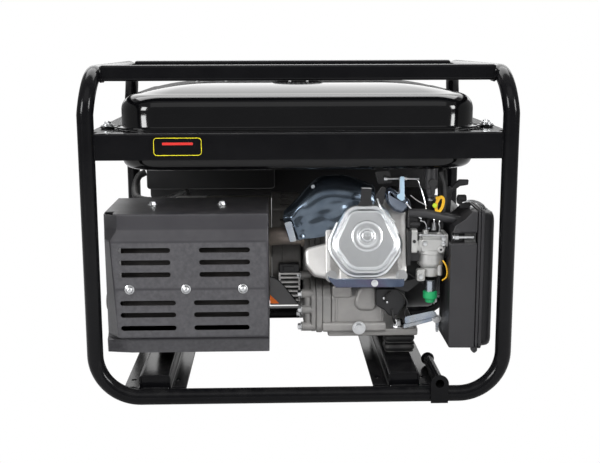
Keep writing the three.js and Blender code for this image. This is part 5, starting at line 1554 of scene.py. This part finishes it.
def makeAirCleaner():
    # Moulded case in two blocks with a dark slot and a bolt between, flange ribs, a domed cover and its clip.
    c = airCleaner
    lower = roundPoly([(246, 83), (289.8, 82.4), (289.8, 259.4), (246, 259.4)], [4, 0, 1.5, 2], 5)
    upper = roundPoly([(249, 276.6), (289.8, 276.6), (289.8, 312), (281, 312), (268, 299), (252, 288.5)],
                      [1.5, 1.5, 0, 4, 6, 8], 5)
    step = sheet([(250.4, 276.6), (266, 276.6), (254, 286)], [1, 3, 2], 4, -232.6, -231, 0.6)
    case = [plate(side, c["front"], c["back"], "xz", 2.2, 4) for side in (lower, upper)] + [step]
    piece("air_case", case, greyPlastic, nodes=["air_cleaner_case"])
    well = [block(249.5, 290, -219, -136, 257, 279, 0.8)]
    piece("air_case_slot", well, blackPlastic)
    stud = hexagon("x", 10, 258.5, 252, *c["stud"]) + [
        rod("x", 2.4, 257, 284, -228, 269.2, 20, 0.5), rod("x", 3.6, 249.4, 253, *c["stud"], 24, 0.5)]
    piece("air_case_stud", stud, brightSteel)
    neck = [turned([(15, 242.6), (19, 242.6), (19, 248), (15, 248), (15, 242.6)], "x", (0, -188, 246), 40)]
    piece("air_case_neck", neck, blackPlastic)
    rib = [plate(roundRect(-233.6, -134, 80, 314, 9, 6), x0, x1, "yz", 1.2) for x0, x1 in c["ribs"]]
    rib += [plate(roundRect(-231, -137, 83, 311, 9, 6), 294, 296, "yz", 0.3),
            sheet([(285, 83), (285, 77), (290, 72.4), (295, 77), (295, 83)], [1, 3, 3, 3, 1], 4, -231, -221,
                  1)]
    piece("air_case_rib", rib, greyPlastic)
    levels = [(1, 300.2), (0, 301), (0.6, 308), (1.4, 312), (3.2, 315.4), (6.2, 317.2), (10, 317.8),
              (20, 317.4), (24, 316.0), (28, 315.6)]
    cover = gridShell(np.stack([onPlane(roundRect(-231 + d, -136.5 - d, 82 + d, 311.5 - d,
            max(15 - d * 0.4, 6), 8), h, "yz") for d, h in levels]))
    fins = [block(316.0, 317.6, y, y + 4, 112, 284, 1.2, plane="yz") for y in np.linspace(-200, -170, 4)]
    piece("air_cover", [cover], airBlack, nodes=["air_cleaner_cover"], angle=40)
    piece("air_cover_ribs", fins, airBlack)
    knob = [turned([(0.1, 262), (6, 262), (7.4, 263.4), (7.6, 275), (6.6, 276.6), (0.1, 276.8)], "x",
                   c["knob"], 60, lambda a, r: np.where(r > 5, r + 0.5 * np.cos(a * 10), r)),
            block(266, 284, -197, -187, 311, 321, 2)]
    piece("cover_knob", knob, blackPlastic)
    clipPath = smoothPath([(270, -200, 322), (279, -204, 325), (290, -204, 324), (300, -203, 318),
            (306, -202, 311), (316, -201, 305)], 10)
    clip = [sweep(clipPath, np.array([[-0.7, -3], [0.7, -3], [0.7, 3], [-0.7, 3]]), first=(0, 0, 1)),
            sweep(clipPath + (0, 9, -1.5), circle(1.1, 10)),
            sweep(clipPath + (2, -4.2, 1.2), circle(0.9, 10)), block(281, 287, -207, -186, 308, 315, 1.4)]
    clip += [sweep(clipPath[5:] + (k * 1.7, 2.5 * k - 3, 2.2 - k), circle(0.5, 8)) for k in range(3)]
    piece("cover_clip", clip, brightSteel)
    breather = smoothPath([(180, -203, 306), (192, -203.6, 305.4), (210, -204, 304.4), (240, -203, 297.5),
            (256, -201.5, 294.4)], 8)
    hose = [sweep(breather, circle(7.4, 28))]
    piece("breather_run", hose, hoseRubber, nodes=["breather_hose"])
    barb = [turned([(0.1, 254), (6, 254), (6.6, 256), (5, 259), (5.6, 261), (4.4, 266), (4.4, 272),
                    (0.1, 272)], "x", (0, -201.4, 294.2), 32)]
    piece("breather_barb", barb, blackPlastic)


def makeBrace():
    # The folded zinc brace under the air cleaner and the black boots, rods and nuts by it.
    upper = sheet([(181, 118.6), (231, 129.4), (236.6, 125), (234.6, 117.6), (229, 116.4), (183, 106)],
                  [2, 5, 4, 2, 3, 2], 4, -166.5, -164.8, 0.6)
    lower = sheet([(182, 104.4), (229, 114.6), (232, 109), (180, 95.4)], 2, 4, -160, -158.4, 0.5)
    web = [block(183, 234, -165.5, -158.5, 104.4, 106, 0.5)]
    web = [spun(s, "y", -12.4, (183, -162, 105)) for s in web]
    leg = sheet([(229, 129), (238, 121), (243.4, 106), (242, 88), (237.6, 88), (236.8, 104), (231, 117)],
                2.5, 4, -157, -154.6, 0.6)
    piece("intake_brace", [upper, lower, leg] + web, zinc, nodes=["air_cleaner_brace"])
    nuts = hexagon("z", 13, 92.8, 100.6, 172, -137, washer=1.4, dome=1.2) + hexagon("y", 9, -157, -162,
            238.6, 112, washer=1)
    nuts += [rod("z", 3.6, 90, 106, 172, -137, 20, 0.8)] + hexagon("z", 12, 100.6, 104.6, 172, -137)
    piece("brace_nuts", nuts, brightSteel)
    boot = [sheet([(132, 169), (182, 169), (182, 141), (170, 121), (156, 119), (146, 131), (132, 139)],
                  [4, 3, 8, 8, 8, 6, 4], 5, -166, -150, 3), sheet([(150, 176), (200, 190), (208, 184),
            (184, 165)], 4, 4, -178, -175, 1), block(176, 183, -172, -158, 176, 262, 2)]
    piece("oil_sensor_boot", boot, blackPlastic)
    wires = [tube([(147, -168, 146), (150, -171, 158), (158, -170, 164)], 1.5, 10),
             tube([(171, -170, 166), (180, -178, 156), (184, -180, 146), (181, -178, 130), (180, -172, 116)],
                  1.3, 10, 10), tube([(182, -182, 198), (190, -186, 196), (200, -188, 188),
            (210, -186, 182)], 1.3, 10, 10), tube([(160, -168, 132), (162, -170, 118), (166, -160, 106)],
            2.2, 12)]
    piece("sensor_wires", wires, rubber)
    # Bright steel terminal studs on the boot, set there also as painted highlights (glints).
    glints = [rod("y", 2.4, -168.5, -165, 146, 152, 20, 0.6), rod("y", 1.8, -168.5, -165, 151, 145, 20, 0.6)]
    piece("sensor_terminal_glints", glints, brightSteel)


def rubberFoot(x, y, z0, z1, half):
    # A bulged rubber block: its sides swell between two moulded plates.
    ring = roundRect(x - 26, x + 26, y - half, y + half, 9, 6)
    t = np.linspace(0, math.pi, 13)
    levels = [(3, z0), (0.8, z0 + 0.6)] + [(2.2 - 3.4 * math.sin(a), z0 + 2 + (z1 - z0 - 4) * k / 12) for k,
            a in enumerate(t)] + [(0.8, z1 - 0.6), (3, z1)]
    return gridShell(np.stack([onPlane(inward(ring, d), z, "xy") for d, z in levels]))


rubberFeet = {"x": 178, "half": 18, "levels": ((62, 79.2), (45.3, 61)),
              "places": (("front_foot", "front_engine_mount", -118),
        ("rear_foot", "rear_engine_mount", 106))}


def makeFeet():
    x = rubberFeet["x"]
    for name, node, y in rubberFeet["places"]:
        shells = [rubberFoot(x, y, z0, z1, rubberFeet["half"]) for z0, z1 in rubberFeet["levels"]]
        piece(name, shells, rubber, nodes=[node])
        plates = [block(x - 26, x + 26, y - 19, y + 19, 60.4, 62.6, 1)]
        plates += hexagon("z", 12, 92.6, 101, x, y, washer=1.4, dome=1)
        piece(name + "_plate", plates, paint)


makeCarburettor()
makeFuelCock()
makeLevers()
makeAirCleaner()
makeBrace()
makeFeet()
print("intake side built")


# Control box, sockets, key, breaker, terminals and conduit.
panel = {"face": 252, "outletZ": 345, "outlets": (("left_outlet", "left_socket", -160),
        ("right_outlet", "right_socket", -88)), "meterX": -262, "keyZ": 314, "terminalX": (-160, -136),
         "terminalZ": 309, "earth": (-66, 306), "fuseX": -104, "louvreX": 40, "louvreStep": 26, "louvres": 8,
         "hangerX": (-250, -90), "screws": {-288: (300, 389), -48: (300, 389), 2: (270, 391),
        286: (270, 391)}}


def makePanel():
    # A folded box under the tank with a wide face plate, and all that is mounted in it.
    p = panel
    face = p["face"]
    tub = [plate(roundRect(-297.5, -38.5, 290.5, 376.8, 7, 6), 190.3, 249.5, "xz", 2),
           plate(roundRect(-298, 296, 262, 399, 8, 8), 249.5, face, "xz", 1.0)]
    piece("control_case", tub, panelPaint, nodes=["control_box"])
    trim = [plate(roundRect(-293, -43, 295, 394, 6, 6), 251.8, 253.2, "xz", 0.6)]
    piece("panel_face", trim, satinPaint)
    contacts, z = [], p["outletZ"]
    for name, node, x in p["outlets"]:
        rim = turned([(0.1, face + 1.4), (27, face + 1.4), (27, face + 4.4), (26, face + 5.6),
                      (24.6, face + 9.2), (23.4, face + 10.2), (20.4, face + 10.2), (19.2, face + 9.2),
                      (19, face + 2.4), (0.1, face + 2.4)], "y", (x, 0, z), 72)
        piece(name, rim, blackPlastic, nodes=[node])
        contacts += [rod("y", 3.0, face + 2.2, face + 2.9, x + dx, z, 24, 0.2) for dx in (-9.5, 9.5)]
        contacts += [block(x - 3, x + 3, face + 2.2, face + 5, z + dz - 1.8, z + dz + 1.8, 0.6)
                     for dz in (-17.2, 17.2)]
    piece("outlet_contacts", contacts, brightSteel)
    bezel = [plate(roundRect(-286, -238, 348, 382, 4, 5), face + 1, face + 6, "xz", 1.2)]
    piece("meter_bezel", bezel, blackPlastic)
    piece("meter_face", plate(roundRect(-281, -243, 352, 378, 2, 4), face + 5, face + 6.4, "xz", 0.4), white)
    ticks, mx = [], p["meterX"]
    for a in np.linspace(-50, 50, 11):
        tick = block(mx - 0.4, mx + 0.4, face + 6, face + 6.7, 371, 374.4, 0.15)
        ticks.append(spun(tick, "y", a, (mx, 0, 352)))
    ticks.append(spun(block(mx - 0.4, mx + 0.4, face + 6, face + 6.9, 354, 372, 0.2), "y", -22,
                      (mx, 0, 354)))
    piece("meter_marks", ticks, blackPlastic)
    keyBase = turned([(11.5, face + 1.2), (14.5, face + 1.2), (14.2, face + 3), (12, face + 3.6),
                      (11.5, face + 1.2)], "y", (mx, 0, p["keyZ"]), 48)
    piece("key_ring", keyBase, brightSteel)
    key = [turned([(0.1, face + 0.6), (10.6, face + 0.6), (10.8, face + 4.4), (9.8, face + 5.2),
                   (5, face + 5.2), (4.8, face + 10), (0.1, face + 10)], "y", (mx, 0, p["keyZ"]), 48),
           sheet([(-264.6, 303.4), (-259.4, 303.4), (-259.4, 324.6), (-264.6, 324.6)], 2, 4, face + 9,
                 face + 16, 1)]
    piece("start_key", key, brightSteel, "engine_key", ["engine_key"])
    well = [block(-224, -200, face + 1, face + 5, 330, 360, 1.6)]
    piece("breaker_frame", well, blackPlastic)
    rocker = [plate(roundPoly([(face + 4.4, 337.6), (face + 14, 340.4), (face + 14.2, 347),
            (face + 9.6, 351.6), (face + 5, 352)], [1, 1.6, 1.6, 2, 1], 4), -220.8, -203.2, "yz", 0.8)]
    piece("breaker_rocker", rocker, blackPlastic, "breaker_toggle", ["breaker_toggle"])
    lip = np.array([[-7, -1.4], [7, -1.4], [5.4, 1.6], [-6.4, 0.2]])
    places = [p["louvreX"] + k * p["louvreStep"] for k in range(p["louvres"])]
    louvres = [sweep(np.array([(x, face + 0.6, 318), (x, face + 0.6, 366)]), lip, first=(1, 0, 0))
               for x in places]
    bead = [sweep(onPlane(roundRect(12, 276, 276, 388, 9, 6), face, "xz"), circle(1.3, 10), closed=True)]
    piece("panel_louvres", louvres + bead, panelPaint)
    posts, nuts = [], []
    for x in p["terminalX"]:
        posts.append(turned([(0.1, face + 1), (7.6, face + 1), (7.8, face + 9), (6.6, face + 10.4),
                (0.1, face + 10.4)], "y", (x, 0, p["terminalZ"]), 60, lambda a,
                            r: np.where(r > 6, r + 0.3 * np.cos(a * 16), r)))
        nuts += hexagon("y", 7, face + 10.2, face + 14, x, p["terminalZ"])
    piece("red_terminal", posts[0], red)
    piece("black_terminal", posts[1], blackPlastic)
    earth = hexagon("y", 10, face + 1.2, face + 6.4, *p["earth"], washer=1.2)
    earth.append(rod("y", 2.6, face + 6, face + 12, *p["earth"], 18, 0.6))
    piece("terminal_nuts", nuts + earth, brightSteel)
    fuse = turned([(0.1, face + 1), (9, face + 1), (9.2, face + 4), (6.4, face + 5), (6, face + 12),
                   (0.1, face + 12.6)], "y", (p["fuseX"], 0, p["terminalZ"]), 60, lambda a,
                  r: np.where(r < 7, r + 0.25 * np.cos(a * 18), r))
    piece("fuse_holder", fuse, blackPlastic)
    screws = []
    for x, heights in p["screws"].items():
        for z in heights:
            screws.append(turned([(0.1, face + 1), (4, face + 1), (3.8, face + 2.4), (2, face + 3.2),
                    (0.1, face + 3.3)], "y", (x, 0, z), 28))
    piece("panel_screws", screws, brightSteel)
    hangers = [block(x - 12, x + 12, 224, 250, 396, 399, 1) for x in p["hangerX"]]
    piece("panel_hangers", hangers, paint)
    pts = smoothPath([(-302, 215, 322), (-307, 214.5, 320), (-316, 208, 314), (-321.4, 190, 295),
                      (-310, 140, 281.5), (-272, 100, 281.5), (-234, 78, 290), (-214, 66, 300),
                      (-206.5, 60.6, 303), (-205, 60, 298.5)], 22)
    k = np.arange(len(pts))
    ridge = 0.86 + 0.14 * (np.cos(k * tau / 4) > -0.1)
    piece("corrugated_conduit", sweep(pts, circle(6.9, 24), scale=ridge), rubber, nodes=["panel_conduit"],
          angle=70)


makePanel()
print("panel built")
